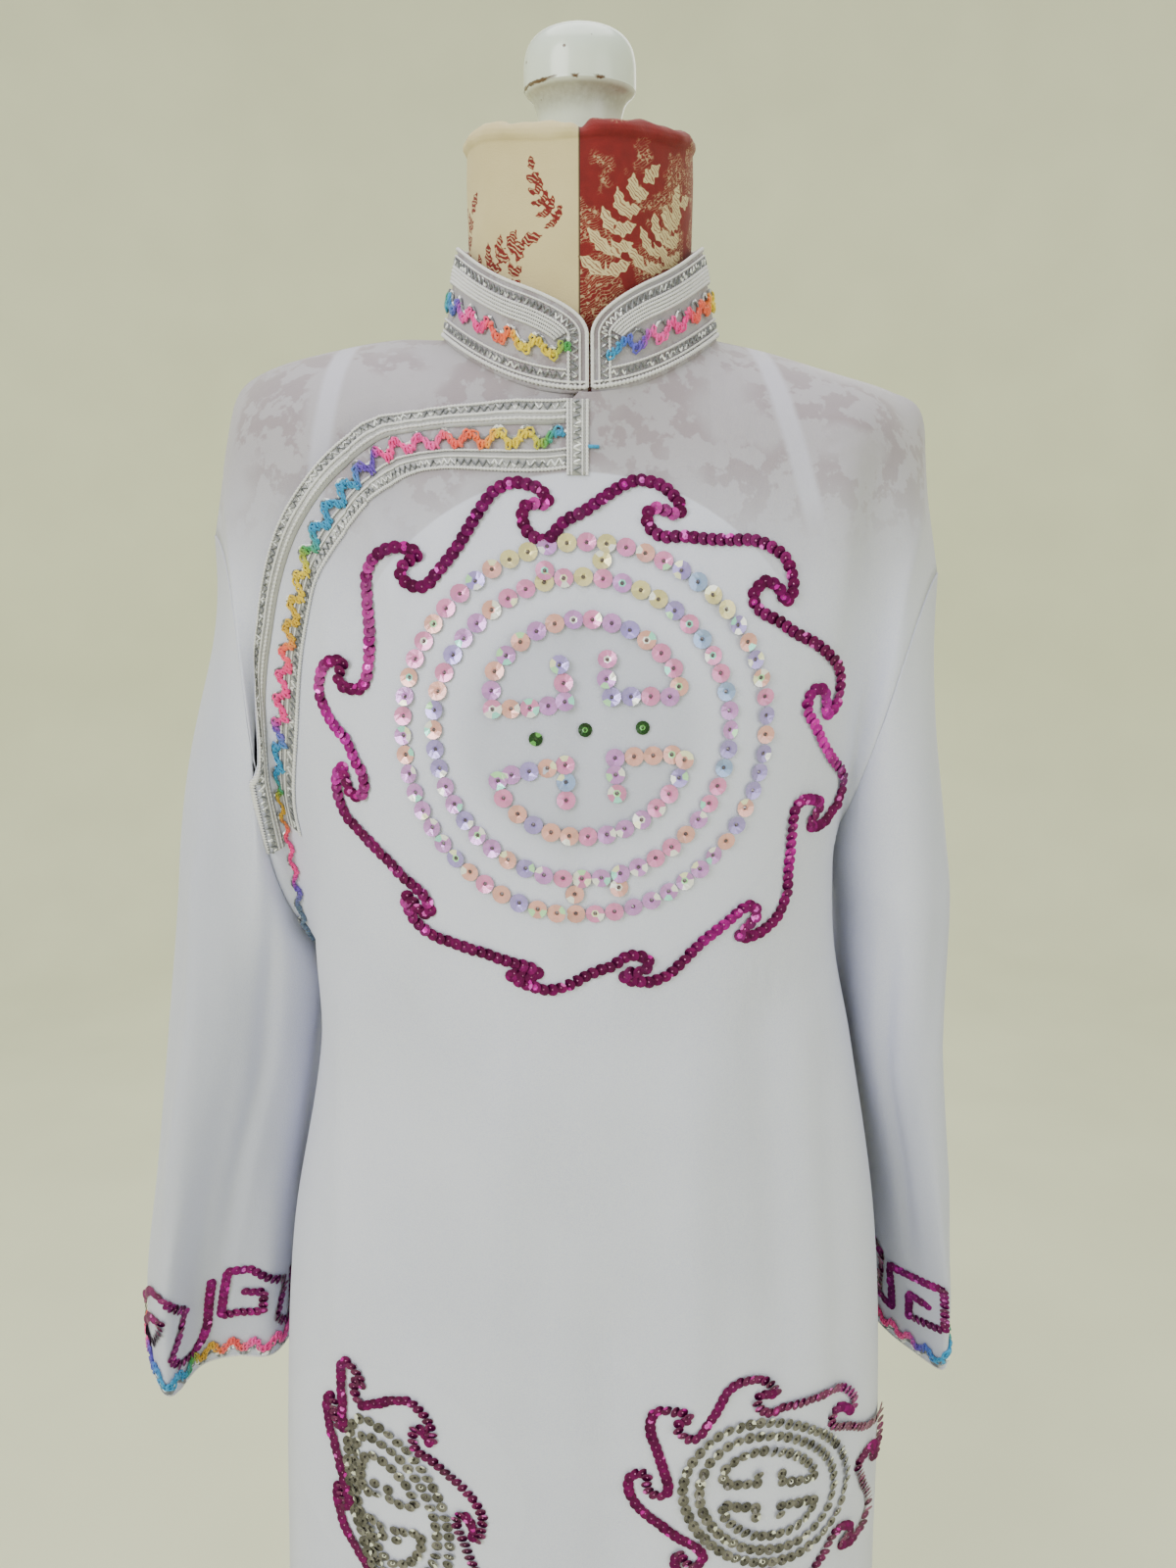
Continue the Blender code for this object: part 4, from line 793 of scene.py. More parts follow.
def crepe_finish():
    """Sheer white crepe: a pebbled grain, a lilac cast, what is under it showing through, and painted shade.
    """
    finish = Finish("white_crepe", 0.58, sheen_weight=0.3, sheen_roughness=0.4, specular_ior_level=0.35)
    place = finish.place()
    x, y, z = finish.parts(place)
    pebbles = finish.noise(place, 1500.0, 2.0, 0.6)
    slubs = finish.noise(finish.scaled(place, (1.0, 1.0, 0.35)), 260.0)
    clouds = finish.noise(place, 14.0, 2.0)
    colour = finish.mix(clouds, CREPE_SHADE, CREPE_LIGHT)
    colour = finish.mix(finish.between(pebbles, 0.30, 0.62) * 0.30, colour, (0.84, 0.85, 0.90))
    # painted shade: the sleeves, out beyond the body and below the shoulders, are darkened
    hanging = finish.between(finish.size(x), 0.172, 0.196) * finish.between(z, 1.33, 1.24)
    colour = finish.mix(hanging * 0.42, colour, PAINTED_SHADE)
    on_form = finish.between(z, 1.235, 1.345)
    blots = finish.noise(place, 74.0, 4.0, 0.60)
    patches = finish.between(finish.noise(place, 24.0, 1.0), 0.38, 0.52)
    ghost = finish.between(blots, 0.47, 0.53) * finish.between(z, 1.275, 1.335) * patches
    (middle_x, middle_z), _ = BACKINGS[0]
    middle = finish.distance(x - middle_x, z - middle_z)
    facing = finish.between(y, 0.01, -0.01)
    # painted shade: the middle of the chest roundel, on the front, is darkened
    inner = finish.between(middle, 0.066, 0.046) * facing
    backed = 0.0
    for (at_x, at_z), radius in BACKINGS:
        reach = finish.distance(x - at_x, z - at_z)
        backed = finish.between(reach, radius + 0.0007, radius - 0.0007) + backed
    backed = backed * facing
    bands = 0.0
    for low_x, high_x in SEEN_BANDS:
        aside = x - low_x - (z - 1.30) * ((high_x - low_x) / 0.07)
        bands = finish.between(finish.size(aside), 0.0068, 0.0030) + bands
    bands = bands * finish.between(z, 1.285, 1.31) * finish.between(y, 0.03, -0.01)
    sheer = (1.0 - backed * 0.75) * on_form
    for share, tone in (
        (sheer * 0.80, FORM_SHADE),
        (ghost * (1.0 - backed) * (1.0 - bands) * 0.46, GHOST_SHADE),
        (bands * 0.34, CREPE_LIGHT),
        (backed * 0.38, BACKED_LIGHT),
        (inner * 0.42, PAINTED_SHADE),
    ):
        colour = finish.mix(share, colour, tone)
    normal = finish.bump(pebbles, 0.0006, 0.35, finish.bump(slubs, 0.0008, 0.25))
    return finish.feed(base_color=colour, normal=normal)


def cover_finish():
    """Cotton for the form: half of it cream printed red, half red printed cream, with fine engraved lines."""
    finish = Finish("printed_cotton", 0.85, sheen_weight=0.1)
    place = finish.place()
    x, y, z = finish.parts(place)
    weave = finish.noise(place, 1500.0, 1.0)
    wander = finish.noise(place, 160.0, 2.0)
    motif = finish.attribute("motif")
    inside = finish.between(motif + (wander - 0.5) * 0.0016, -0.00012, 0.00022)
    hatch = finish.sum_of("SINE", (x * 0.8 + y * 0.3 + z) * 3300.0 + wander * 22.0)
    vein = finish.between(hatch, 0.25, 0.75)
    deep = finish.between(motif, 0.0003, 0.0009)
    inside = inside * (1.0 - vein * deep * 0.8)
    speckle = finish.between(finish.noise(place, 620.0, 3.0, 0.6), 0.56, 0.60)
    patch = finish.between(finish.noise(place, 60.0, 2.0), 0.46, 0.54)
    right = finish.between(x, -0.0003, 0.0003)
    lines = finish.sum_of("SINE", (x * 0.5 + y * 0.5 - z) * 4300.0 + wander * 30.0)
    loose = finish.larger(speckle * 0.6, finish.between(lines, 0.5, 0.95) * 0.34) * patch * right
    cream = finish.mix(finish.noise(place, 40.0, 3.0), seen(196, 178, 132), seen(216, 200, 156))
    red = finish.mix(finish.noise(place, 240.0), seen(98, 5, 9), seen(128, 16, 18))
    share = finish.size(right - finish.larger(inside, loose))
    colour = finish.mix(share, cream, red)
    seam = finish.between(finish.size(x), 0.0007, 0.0002)
    colour = finish.mix(seam * 0.8, colour, seen(48, 14, 12))
    return finish.feed(base_color=colour, normal=finish.bump(weave, 0.0004, 0.5))


def chipped_paint_finish():
    """Glossy white paint with small chips, most on the knob's lower edge, and a painted shadow under the cap.
    """
    finish = Finish("chipped_white_paint", 0.26, coat_weight=0.5, coat_roughness=0.15)
    place = finish.place()
    x, y, z = finish.parts(place)
    tone = finish.mix(finish.noise(place, 60.0, 2.0), seen(208, 219, 212), seen(226, 235, 228))
    ragged = finish.noise(place, 420.0, 3.0, 0.6)
    edge = finish.between(finish.size(z - 1.4992 - (ragged - 0.5) * 0.002), 0.0011, 0.0004)
    worn = edge * finish.between(finish.noise(place, 70.0, 1.0), 0.50, 0.56)
    near = finish.cells(place, 160.0)
    odd = finish.parts(finish.cells(place, 160.0, out=1))[0]
    specks = finish.between(near + ragged * 0.10, 0.20, 0.15) * finish.between(odd, 0.76, 0.80)
    chips = finish.larger(worn, specks)
    # painted shadow: an uneven grey-brown band under the cap's lip
    painted_lip_shadow = finish.between(z, 1.4990, 1.4968) * finish.between(z, 1.4840, 1.4930) * (0.35 + ragged * 0.5)
    tone = finish.mix(painted_lip_shadow, tone, seen(132, 126, 112))
    colour = finish.mix(chips, tone, seen(92, 66, 44))
    return finish.feed(base_color=colour, normal=finish.bump(1.0 - chips, 0.0006, 0.5))


def plain_finish(name, colour, roughness, grain, depth, **fixed):
    """A colour with a little grain and cloudiness in it."""
    finish = Finish(name, roughness, **fixed)
    place = finish.place()
    dark = tuple(c * 0.86 for c in colour)
    mixed = finish.mix(finish.noise(place, 1.0 / (grain * 12)), dark, colour)
    return finish.feed(base_color=mixed, normal=finish.bump(finish.noise(place, 1.0 / grain), depth, 0.5))


def tinsel_finish():
    """Silver tinsel: dark and bright flecks of film, as it turns to and from the light."""
    finish = Finish("silver_tinsel", 0.36, metallic=0.30)
    place = finish.place()
    flecks = finish.parts(finish.cells(place, 380.0, out=1))[0]
    colour = finish.mix(finish.between(flecks, 0.55, 0.85), seen(122, 124, 130), seen(244, 245, 247))
    return finish.feed(base_color=colour, normal=finish.bump(flecks, 0.0004, 0.6))


def yarn_finish():
    """Space-dyed yarn: its colour comes from the dye along its length, broken up by its fibres."""
    finish = Finish("rainbow_yarn", 0.82, sheen_weight=0.3)
    place = finish.place()
    fibres = finish.noise(place, 1800.0, 2.0)
    tint = finish.attribute("tint", out=0)
    colour = finish.mix(finish.between(fibres, 0.25, 0.7), finish.mix(0.20, tint, (0.1, 0.05, 0.1)), tint)
    return finish.feed(base_color=colour, normal=finish.bump(fibres, 0.0004, 0.6))


CREPE_SHADE = seen(197, 199, 227)
CREPE_LIGHT = seen(215, 217, 243)
FORM_SHADE = seen(154, 146, 152)
GHOST_SHADE = seen(128, 106, 114)
BACKED_LIGHT = seen(218, 220, 242)
# A painted shade, put on the hanging sleeves and on the middle of the chest roundel
PAINTED_SHADE = seen(166, 169, 188)
# Each backing disc's centre, as x and z, and its radius
BACKINGS = (((0.0, 1.203), 0.117), ((-0.104, 0.765), 0.073), ((0.104, 0.765), 0.073))
# The two pale bands of seam cloth under the shoulders, as x at their lower and upper ends
SEEN_BANDS = ((0.112, 0.094), (-0.128, -0.120))
CREPE = crepe_finish()
STIFF = plain_finish("stiff_interlining", (0.80, 0.79, 0.82), 0.8, 0.0008, 0.0002)
CORD_WHITE = plain_finish("white_cord", (0.78, 0.77, 0.80), 0.65, 0.0004, 0.0003)
TINSEL = tinsel_finish()
SATIN = plain_finish("silver_ribbon", seen(176, 175, 178), 0.42, 0.0004, 0.0002, metallic=0.25)
YARN = yarn_finish()
COVER = cover_finish()
KNOB_PAINT = chipped_paint_finish()
PAINT = plain_finish("white_paint", (0.72, 0.73, 0.70), 0.32, 0.004, 0.0004)


# The robe's panels

FRONT_COLUMNS = 181
CHEST_ROWS = 92
SKIRT_ROWS = 132
CHEST_PACE = 1.2  # above 1, the chest's rows lie closer together towards its top


def make_front():
    u = np.linspace(-1.0, 1.0, FRONT_COLUMNS)[None, :]
    share = (np.linspace(0.0, 1.0, CHEST_ROWS) ** CHEST_PACE)[:, None]
    top = flap_v(u)
    chest = np.maximum(np.where(u > 0, SHOULDER_START, 0.0), top + (1 - top) * share)
    skirt = np.broadcast_to(np.linspace(1.0, 2.0, SKIRT_ROWS)[1:, None], (SKIRT_ROWS - 1, FRONT_COLUMNS))
    return sheet_object("front_cloth", dressed_front(u, np.concatenate([chest, skirt])), CREPE)


def make_underlap():
    u = np.linspace(-1.0, -0.01, 70)[None, :]
    share = np.linspace(0.0, 1.0, 48)[:, None]
    top = flap_v(u)
    reach = UNDERLAP_REACH * (1 - smooth(*UNDERLAP_FADE, -u))
    v = np.maximum(SHOULDER_START, (top + reach) * share)
    near = u * (1 - UNDERLAP_CLEAR * smooth(-0.02, 0.10, v - top))
    sink = UNDERLAP_SINK * smooth(0.0, 1.0, (v - top + 0.06) / 0.06)
    place = cloth(FRONT, near, v)
    return sheet_object("underlap_cloth", place - outward(FRONT, near, v) * sink[..., None], CREPE)


def make_back():
    u = np.linspace(-1.0, 1.0, 161)[None, :]
    chest = np.maximum(SHOULDER_START, np.linspace(0.0, 1.0, 90) ** CHEST_PACE)
    v = np.concatenate([chest, np.linspace(1.0, 2.0, 130)[1:]])[:, None]
    place = cloth(BACK, u, v)
    push = crease_height(BACK_CREASES, place[..., 0], place[..., 2])
    return sheet_object("back_cloth", place + outward(BACK, u, v) * push[..., None], CREPE, flip=True)


# The sleeves' creases, in shares of the way round and heights, all to be deepened by SLEEVE_DEPTH
SLEEVE_DEPTH = 1.7
SLEEVE_CREASES = {
    LEFT: (
        ((0.10, 1.15), (0.16, 1.00), (0.13, 0.86), 0.030, 0.0020),
        ((0.30, 1.10), (0.34, 0.98), (0.31, 0.84), 0.028, -0.0020),
        ((0.55, 1.08), (0.58, 0.95), (0.57, 0.82), 0.030, 0.0022),
        ((0.78, 1.12), (0.82, 0.98), (0.80, 0.84), 0.030, -0.0022),
    ),
    RIGHT: (
        ((0.14, 1.18), (0.19, 1.02), (0.17, 0.88), 0.028, 0.0022),
        ((0.32, 1.12), (0.36, 0.98), (0.35, 0.83), 0.026, -0.0022),
        ((0.62, 1.10), (0.60, 0.96), (0.63, 0.82), 0.030, 0.0022),
        ((0.86, 1.16), (0.88, 1.00), (0.86, 0.84), 0.030, -0.0020),
    ),
}


def sleeve_push(hand, share, z):
    """How far the sleeve's creases push it out, for shares of the way round and heights."""
    total = 0.0
    for start, bend, end, width, height in SLEEVE_CREASES[hand]:
        middle = np.interp(z, (end[1], bend[1], start[1]), (end[0], bend[0], start[0]))
        fade = smooth(start[1], start[1] - 0.08, z) * smooth(end[1] - 0.03, end[1] + 0.05, z)
        away = np.abs(np.mod(share - middle + 0.5, 1.0) - 0.5)
        total = total + SLEEVE_DEPTH * height * fade * bell(away, width)
    return total


def sleeve_surface(hand, share, t):
    """A sleeve's visible surface with its creases."""
    share, t = np.broadcast_arrays(share, t)
    place = sleeve_point(hand, share, t)
    around = sleeve_point(hand, share + 0.003, t) - sleeve_point(hand, share - 0.003, t)
    low, high = np.maximum(t - 0.004, 0.0), np.minimum(t + 0.004, 1.0)
    down = sleeve_point(hand, share, high) - sleeve_point(hand, share, low)
    return place + unit(np.cross(around, down)) * hand * sleeve_push(hand, share, place[..., 2])[..., None]


# Rows of the share of the way round a cuff and how far its hem rises there
CUFF_RISE = {
    LEFT: np.array([
        (0.00, 0.014), (0.12, 0.016), (0.205, 0.001), (0.30, 0.000), (0.45, 0.000), (0.62, 0.006),
        (0.82, 0.010), (1.00, 0.014),
    ]),
    RIGHT: np.array([
        (0.00, 0.014), (0.11, 0.018), (0.225, -0.004), (0.30, 0.002), (0.39, 0.0095), (0.525, 0.006),
        (0.70, 0.004), (0.88, 0.010), (1.00, 0.014),
    ]),
}


def hem_rise(hand, share):
    places, rises = CUFF_RISE[hand].T
    share = np.mod(share, 1.0)
    return sum(np.interp(np.mod(share + d, 1.0), places, rises) for d in (-0.02, 0.0, 0.02)) / 3


def cuff_girth(hand):
    """Shares of the way round a cuff and the lengths round it that match them."""
    share = np.linspace(0.0, 1.0, 361)
    return share, running_length(hanging_point(hand, share, np.full(361, CUFF_Z + 0.02)))


GIRTHS = {hand: cuff_girth(hand) for hand in (LEFT, RIGHT)}


def on_cuff(hand):
    """The cuff, for lengths round it, heights above its hem and heights off the cloth."""
    shares, lengths = GIRTHS[hand]

    def surface(along, across, up):
        along, across, up = np.broadcast_arrays(along, across, up)
        share = np.interp(np.mod(along, lengths[-1]), lengths, shares)
        z = CUFF_Z + hem_rise(hand, share) + across
        ahead, behind = hanging_point(hand, share + 0.004, z), hanging_point(hand, share - 0.004, z)
        normal = unit(np.cross(ahead - behind, np.array((0.0, 0.0, 1.0)))) * -hand
        push = sleeve_push(hand, share, z) + CLOTH_WALL / 2 + up
        return hanging_point(hand, share, z) + normal * push[..., None]

    return surface


def make_sleeve(name, hand):
    share = np.linspace(0.0, 1.0, 145)[None, :]
    top = armhole(hand, share)[..., 2]
    t = (np.linspace(0.0, 1.0, 190) ** 1.1)[:, None] * (1 - hem_rise(hand, share) / (top - CUFF_Z))
    return sheet_object(name, sleeve_surface(hand, share, t), CREPE, flip=hand > 0, closed=True)


def make_collar():
    inner = COLLAR_HALF - COLLAR_PARTING
    shares = np.concatenate([np.linspace(0, 0.18, 40), np.linspace(0.18, 1.0, 90)[1:]])
    side = -(COLLAR_PARTING + inner * shares)
    stations = np.concatenate([side, -side[::-1][1:]])
    height = collar_height(np.abs(stations) - COLLAR_PARTING)
    rise = np.linspace(-0.05, 1.0, 26)[:, None]
    fade = 1 - np.abs(stations) / COLLAR_HALF
    grid = collar_point((stations + PARTING_AT * fade)[None, :], height[None, :] * rise)
    return sheet_object("collar_cloth", grid, CREPE, wall=COLLAR_CLOTH)


def make_backing(name, centre, radius):
    """A stiff disc behind the front's cloth."""
    angle = np.linspace(0.0, 2 * math.pi, 73)[None, :]
    reach = np.linspace(0.02, 1.0, 16)[:, None] * radius
    u, v = find_on_front(centre[0] + reach * np.sin(angle), centre[1] + reach * np.cos(angle))
    return sheet_object(name, dressed_front(u, v, -0.0011), STIFF, closed=True, wall=0.0004)


front_cloth = make_front()
underlap_cloth = make_underlap()
back_cloth = make_back()
left_sleeve = make_sleeve("left_sleeve_cloth", LEFT)
right_sleeve = make_sleeve("right_sleeve_cloth", RIGHT)
collar_cloth = make_collar()
backings = [
    make_backing(f"{word}_backing", *disc) for word, disc in zip(("chest", "right_hip", "left_hip"), BACKINGS)
]

# The dress form

# Rows of z, half width, front depth, back depth, squareness
FORM_RINGS = np.array([
    (0.715, 0.150, 0.092, 0.104, 1.0), (0.76, 0.159, 0.098, 0.112, 1.0), (0.82, 0.162, 0.098, 0.114, 1.0),
    (0.90, 0.146, 0.090, 0.102, 1.0), (1.00, 0.116, 0.080, 0.082, 1.0), (1.07, 0.121, 0.094, 0.084, 1.0),
    (1.14, 0.131, 0.107, 0.088, 1.0), (1.20, 0.139, 0.100, 0.088, 1.0), (1.26, 0.153, 0.084, 0.082, 1.0),
    (1.31, 0.166, 0.069, 0.074, 1.12), (1.340, 0.163, 0.063, 0.066, 1.35),
    (1.356, 0.146, 0.0595, 0.061, 1.7), (1.368, 0.100, 0.0535, 0.056, 1.8),
    (1.378, 0.0635, 0.0550, 0.0555, 1.15), (1.390, 0.0562, 0.056, 0.056, 1.0),
    (1.452, 0.0566, 0.0566, 0.0566, 1.0), (1.463, 0.0560, 0.0560, 0.0560, 1.0),
])
NECK_TOP_Z = 1.463
# The rolled rim of gathered cloth at the neck's top: rows of radius and z
NECK_RIM = np.array([
    (0.0560, 1.4630), (0.0568, 1.4645), (0.0574, 1.4668), (0.0570, 1.4700), (0.0556, 1.4728),
    (0.0534, 1.4745), (0.0505, 1.4750), (0.0475, 1.4742), (0.0450, 1.4733), (0.0380, 1.4728),
    (0.0300, 1.4727), (0.0100, 1.4726),
])


def form_ring(z, angle):
    """The form's surface at height z. angle is 0 at the front."""
    columns = at_lengths(z, FORM_RINGS[:, 0], FORM_RINGS[:, 1:])
    half_width, front, back, squareness = np.moveaxis(columns, -1, 0)
    ahead = np.sign(np.cos(angle)) * np.abs(np.cos(angle)) ** squareness
    depth = np.where(ahead > 0, front, back)
    return point(half_width * np.sin(angle), -depth * ahead, z)


def top_rise(angle):
    """How much higher the cover's top edge stands: most at the sides."""
    return 0.0030 + 0.0042 * np.sin(angle) ** 2 + 0.0008 * np.sin(5 * angle)


def neck_rim(at, angle):
    """The rim: pleats that deepen inwards, a notch where the halves meet, and an uneven height."""
    radius, z = np.moveaxis(at_lengths(at, np.arange(len(NECK_RIM)), NECK_RIM), -1, 0)
    inward = smooth(0.0, 7.0, at) * smooth(11.0, 9.0, at)
    pleats = np.sin(11 * angle + 1.4 * np.sin(3 * angle)) + 0.6 * np.sin(23 * angle + 0.7)
    notch = bell(np.mod(angle - 0.02 + math.pi, 2 * math.pi) - math.pi, 0.055)
    radius = radius - 0.0008 * pleats * smooth(0.0, 4.0, at) * smooth(9.0, 7.0, at) - 0.0030 * notch * inward
    z = NECK_TOP_Z + (z - NECK_TOP_Z) * 0.72 + top_rise(angle) * smooth(11.0, 8.0, at)
    z = z + (0.0009 * pleats - 0.0040 * notch) * inward
    return point(radius * np.sin(angle), -radius * np.cos(angle), z)


def leaf(across, up, base, turn, length, width, lobes=0.0):
    """How far inside a leaf each place is. turn is the leaf's way in degrees from straight up."""
    c, s = math.cos(math.radians(turn)), math.sin(math.radians(turn))
    along = (up - base[1]) * c + (across - base[0]) * s
    off = (across - base[0]) * c - (up - base[1]) * s
    share = np.clip(along / length, 0.0, 1.0)
    half = width * np.sin(math.pi * share ** 0.75) * (1 + lobes * np.cos(share * 19.0))
    beyond = np.maximum(np.maximum(-along, along - length), 0.0)
    return half - np.abs(off) - beyond


def sprig(across, up, base, turn, size):
    """A stem with toothed leaves in pairs and one at its tip."""
    best = np.full(np.shape(across), -1.0)
    x, z = base
    for n in range(5):
        way = turn + 9 * n
        for side, spread in ((-1, 66 - 7 * n), (1, 58 - 7 * n)):
            length = size * (0.40 - 0.035 * n)
            best = np.maximum(best, leaf(across, up, (x, z), way + side * spread, length, size * 0.072, 0.30))
        step = size * 0.23
        x, z = x + step * math.sin(math.radians(way)), z + step * math.cos(math.radians(way))
        best = np.maximum(best, leaf(across, up, (x, z), way + 180, step * 1.1, 0.0005))
    return np.maximum(best, leaf(across, up, (x, z), turn + 40, size * 0.34, size * 0.08, 0.30))


def printed_motif(across, up):
    """The print round the neck: sprigs, red on the cream half and cream on the red half."""
    best = np.full(np.broadcast(across, up).shape, -1.0)
    across, up = np.broadcast_arrays(across, up)
    for x, z, turn, size in (
        (-0.086, 1.402, 6, 0.038), (-0.064, 1.404, 42, 0.036), (-0.034, 1.382, -14, 0.030),
        (-0.010, 1.432, -48, 0.022), (-0.118, 1.414, 30, 0.036), (-0.148, 1.392, -15, 0.038),
        (-0.168, 1.430, 60, 0.026), (0.012, 1.409, 8, 0.040), (0.033, 1.412, 22, 0.036),
        (0.022, 1.382, 50, 0.034), (0.058, 1.398, -24, 0.038), (0.050, 1.378, 64, 0.030),
        (0.086, 1.404, 12, 0.042), (0.076, 1.374, 30, 0.034), (0.112, 1.392, -16, 0.040),
        (0.138, 1.410, 34, 0.036), (0.150, 1.380, -20, 0.034), (0.006, 1.372, 20, 0.024),
    ):
        best = np.maximum(best, sprig(across, up, (x, z), turn, size))
    return best


def make_form():
    columns = 261
    angle = np.linspace(0.0, 2 * math.pi, columns)[None, :]
    stretches = ((0.715, 1.33, 60), (1.33, 1.372, 22), (1.372, NECK_TOP_Z, 92))
    z = np.concatenate([[stretches[0][0]], *(np.linspace(*stretch)[1:] for stretch in stretches)])
    rim = neck_rim(np.linspace(0.0, 11.0, 34)[1:][:, None], angle)
    neck = form_ring(z[::-1][:, None], angle)
    neck[..., 2] += top_rise(angle) * smooth(1.425, NECK_TOP_Z, neck[..., 2])
    grid = np.concatenate([rim[::-1], neck])
    grid = np.concatenate([grid, grid[-1:] * np.array((0.2, 0.2, 1.0))])
    points = grid[:, :-1].reshape(-1, 3)
    obj = mesh_object("form_cover", points, grid_faces(len(grid), columns, closed=True), COVER)
    turn = np.arctan2(points[:, 0], -points[:, 1])
    layer = obj.data.attributes.new("motif", "FLOAT", "POINT")
    layer.data.foreach_set("value", printed_motif(turn * 0.057, points[:, 2]))
    face_outwards(obj.data, fill_holes=True)
    return obj


def turned(name, profile, around, material, sharp=35):
    """A turned piece: a disc extruded and resized from ring to ring down its profile of radius and z."""
    radius, z = profile[0]
    bpy.ops.object.select_all(action="DESELECT")
    bpy.ops.mesh.primitive_circle_add(vertices=around, radius=radius, fill_type="NGON", location=(0, 0, z))
    obj = bpy.context.active_object
    obj.name = name
    bpy.ops.object.transform_apply(location=True, rotation=False, scale=False)
    bpy.ops.object.mode_set(mode="EDIT")
    bpy.ops.mesh.select_all(action="SELECT")
    for next_radius, next_z in profile[1:]:
        bpy.ops.mesh.extrude_region_move(TRANSFORM_OT_translate={"value": (0, 0, next_z - z)})
        scale = next_radius / radius
        bpy.ops.transform.resize(value=(scale, scale, 1), center_override=(0, 0, next_z))
        radius, z = next_radius, next_z
    bpy.ops.mesh.select_all(action="SELECT")
    bpy.ops.mesh.remove_doubles(threshold=1e-6)
    bpy.ops.mesh.normals_make_consistent(inside=False)
    bpy.ops.object.mode_set(mode="OBJECT")
    bpy.ops.object.shade_smooth_by_angle(angle=math.radians(sharp))
    obj.data.name = name
    obj.data.materials.append(material)
    obj.select_set(False)
    return obj


def rounded_profile(rows, steps=4):
    """Rows of radius and z on a smooth curve, with more of them where the given ones turn."""
    rows = np.array(rows)
    keys = np.arange(len(rows), dtype=float)
    at = np.linspace(0.0, len(rows) - 1, (len(rows) - 1) * steps + 1)
    fine = read(np.column_stack([keys, rows]), at)
    return [(max(float(radius), 0.0004), float(z)) for radius, z in fine]


KNOB_CAP = (
    (0.0010, 1.5275), (0.0120, 1.5265), (0.0205, 1.5232), (0.0252, 1.5182), (0.0271, 1.5120),
    (0.0275, 1.5050), (0.0275, 1.4996), (0.0274, 1.4990), (0.0262, 1.4976), (0.0240, 1.4956),
    (0.0222, 1.4925), (0.0206, 1.4870), (0.0192, 1.4800), (0.0185, 1.4740),
)
POLE = (
    (0.0340, 0.7147), (0.0340, 0.7060), (0.0200, 0.6980), (0.0150, 0.6850), (0.0150, 0.0900),
    (0.0190, 0.0680), (0.0300, 0.0480), (0.0340, 0.0263),
)
BASE = (
    (0.0010, 0.0260), (0.1500, 0.0220), (0.1600, 0.0200), (0.1660, 0.0165), (0.1680, 0.0110),
    (0.1670, 0.0060), (0.1640, 0.0030), (0.1610, 0.0000),
)

form_cover = make_form()
form_knob = turned("knob_turning", rounded_profile(KNOB_CAP), 72, KNOB_PAINT)
stand_pole = turned("pole_turning", POLE, 48, PAINT)
stand_base = turned("base_turning", BASE, 96, PAINT)


# Trimmings, laid out in lengths along, distances across and heights above what they are sewn to


def on_placket(along, across, up):
    """The placket's band. across is the distance in from the flap's edge where the band is at its widest."""
    return on_band(along, across / BAND_WIDTH, CLOTH_WALL / 2 + up)


def on_collar(along, across, up):
    """The visible collar, for signed lengths from where its front edges meet and heights above its seam."""
    fade = 1 - np.abs(along) / COLLAR_HALF
    return collar_point(along + PARTING_AT * fade, across, COLLAR_CLOTH / 2 + up)


def on_collar_side(hand):
    """One side of the collar, for lengths from its front edge."""
    return lambda along, across, up: on_collar(hand * along, across, up)


def collar_edge_line():
    """The collar's free edge, flat, as length and height: up the front, round the corner, to the back."""
    rise = np.linspace(0.0008, COLLAR_FRONT_HEIGHT, 30)
    turn = np.linspace(0.0, math.pi / 2, 60)[1:]
    corner = COLLAR_CORNER * (1 - np.cos(turn))
    flat = np.linspace(COLLAR_CORNER, COLLAR_HALF, 140)[1:]
    length = COLLAR_PARTING + np.concatenate([np.zeros(30), corner, flat - COLLAR_PARTING])
    height = np.concatenate([rise, collar_height(corner), np.full(139, COLLAR_HEIGHT)])
    line = np.column_stack([length, height])
    reach = running_length(line)
    inward = unit(np.gradient(line, axis=0)) @ np.array([[0.0, -1.0], [1.0, 0.0]])
    for _ in range(12):
        inward[1:-1] = unit(inward[:-2] + 2 * inward[1:-1] + inward[2:])
    return line, reach, inward


EDGE_LINE, EDGE_REACH, EDGE_INWARD = collar_edge_line()


def on_collar_edge(hand):
    """The collar's free edge on one side, for lengths along it and distances in from it."""

    def surface(along, across, up):
        along, across, up = np.broadcast_arrays(along, across, up)
        line, inward = (at_lengths(along, EDGE_REACH, values) for values in (EDGE_LINE, EDGE_INWARD))
        flat = line + inward * across[..., None]
        return on_collar(hand * flat[..., 0], flat[..., 1], up)

    return surface


def swept(path, radius, sides):
    """A round yarn along a path, as rings of points in the path's own coordinates."""
    tangent = unit(np.gradient(path, axis=0))
    side = unit(np.cross(tangent, np.array((0.0, 0.0, 1.0))))
    top = np.cross(side, tangent)
    angle = np.linspace(0.0, 2 * math.pi, sides, endpoint=False) + 0.3
    radius = np.broadcast_to(radius, len(path))[:, None, None]
    around = side[:, None] * np.cos(angle)[None, :, None] + top[:, None] * np.sin(angle)[None, :, None]
    return path[:, None] + around * radius


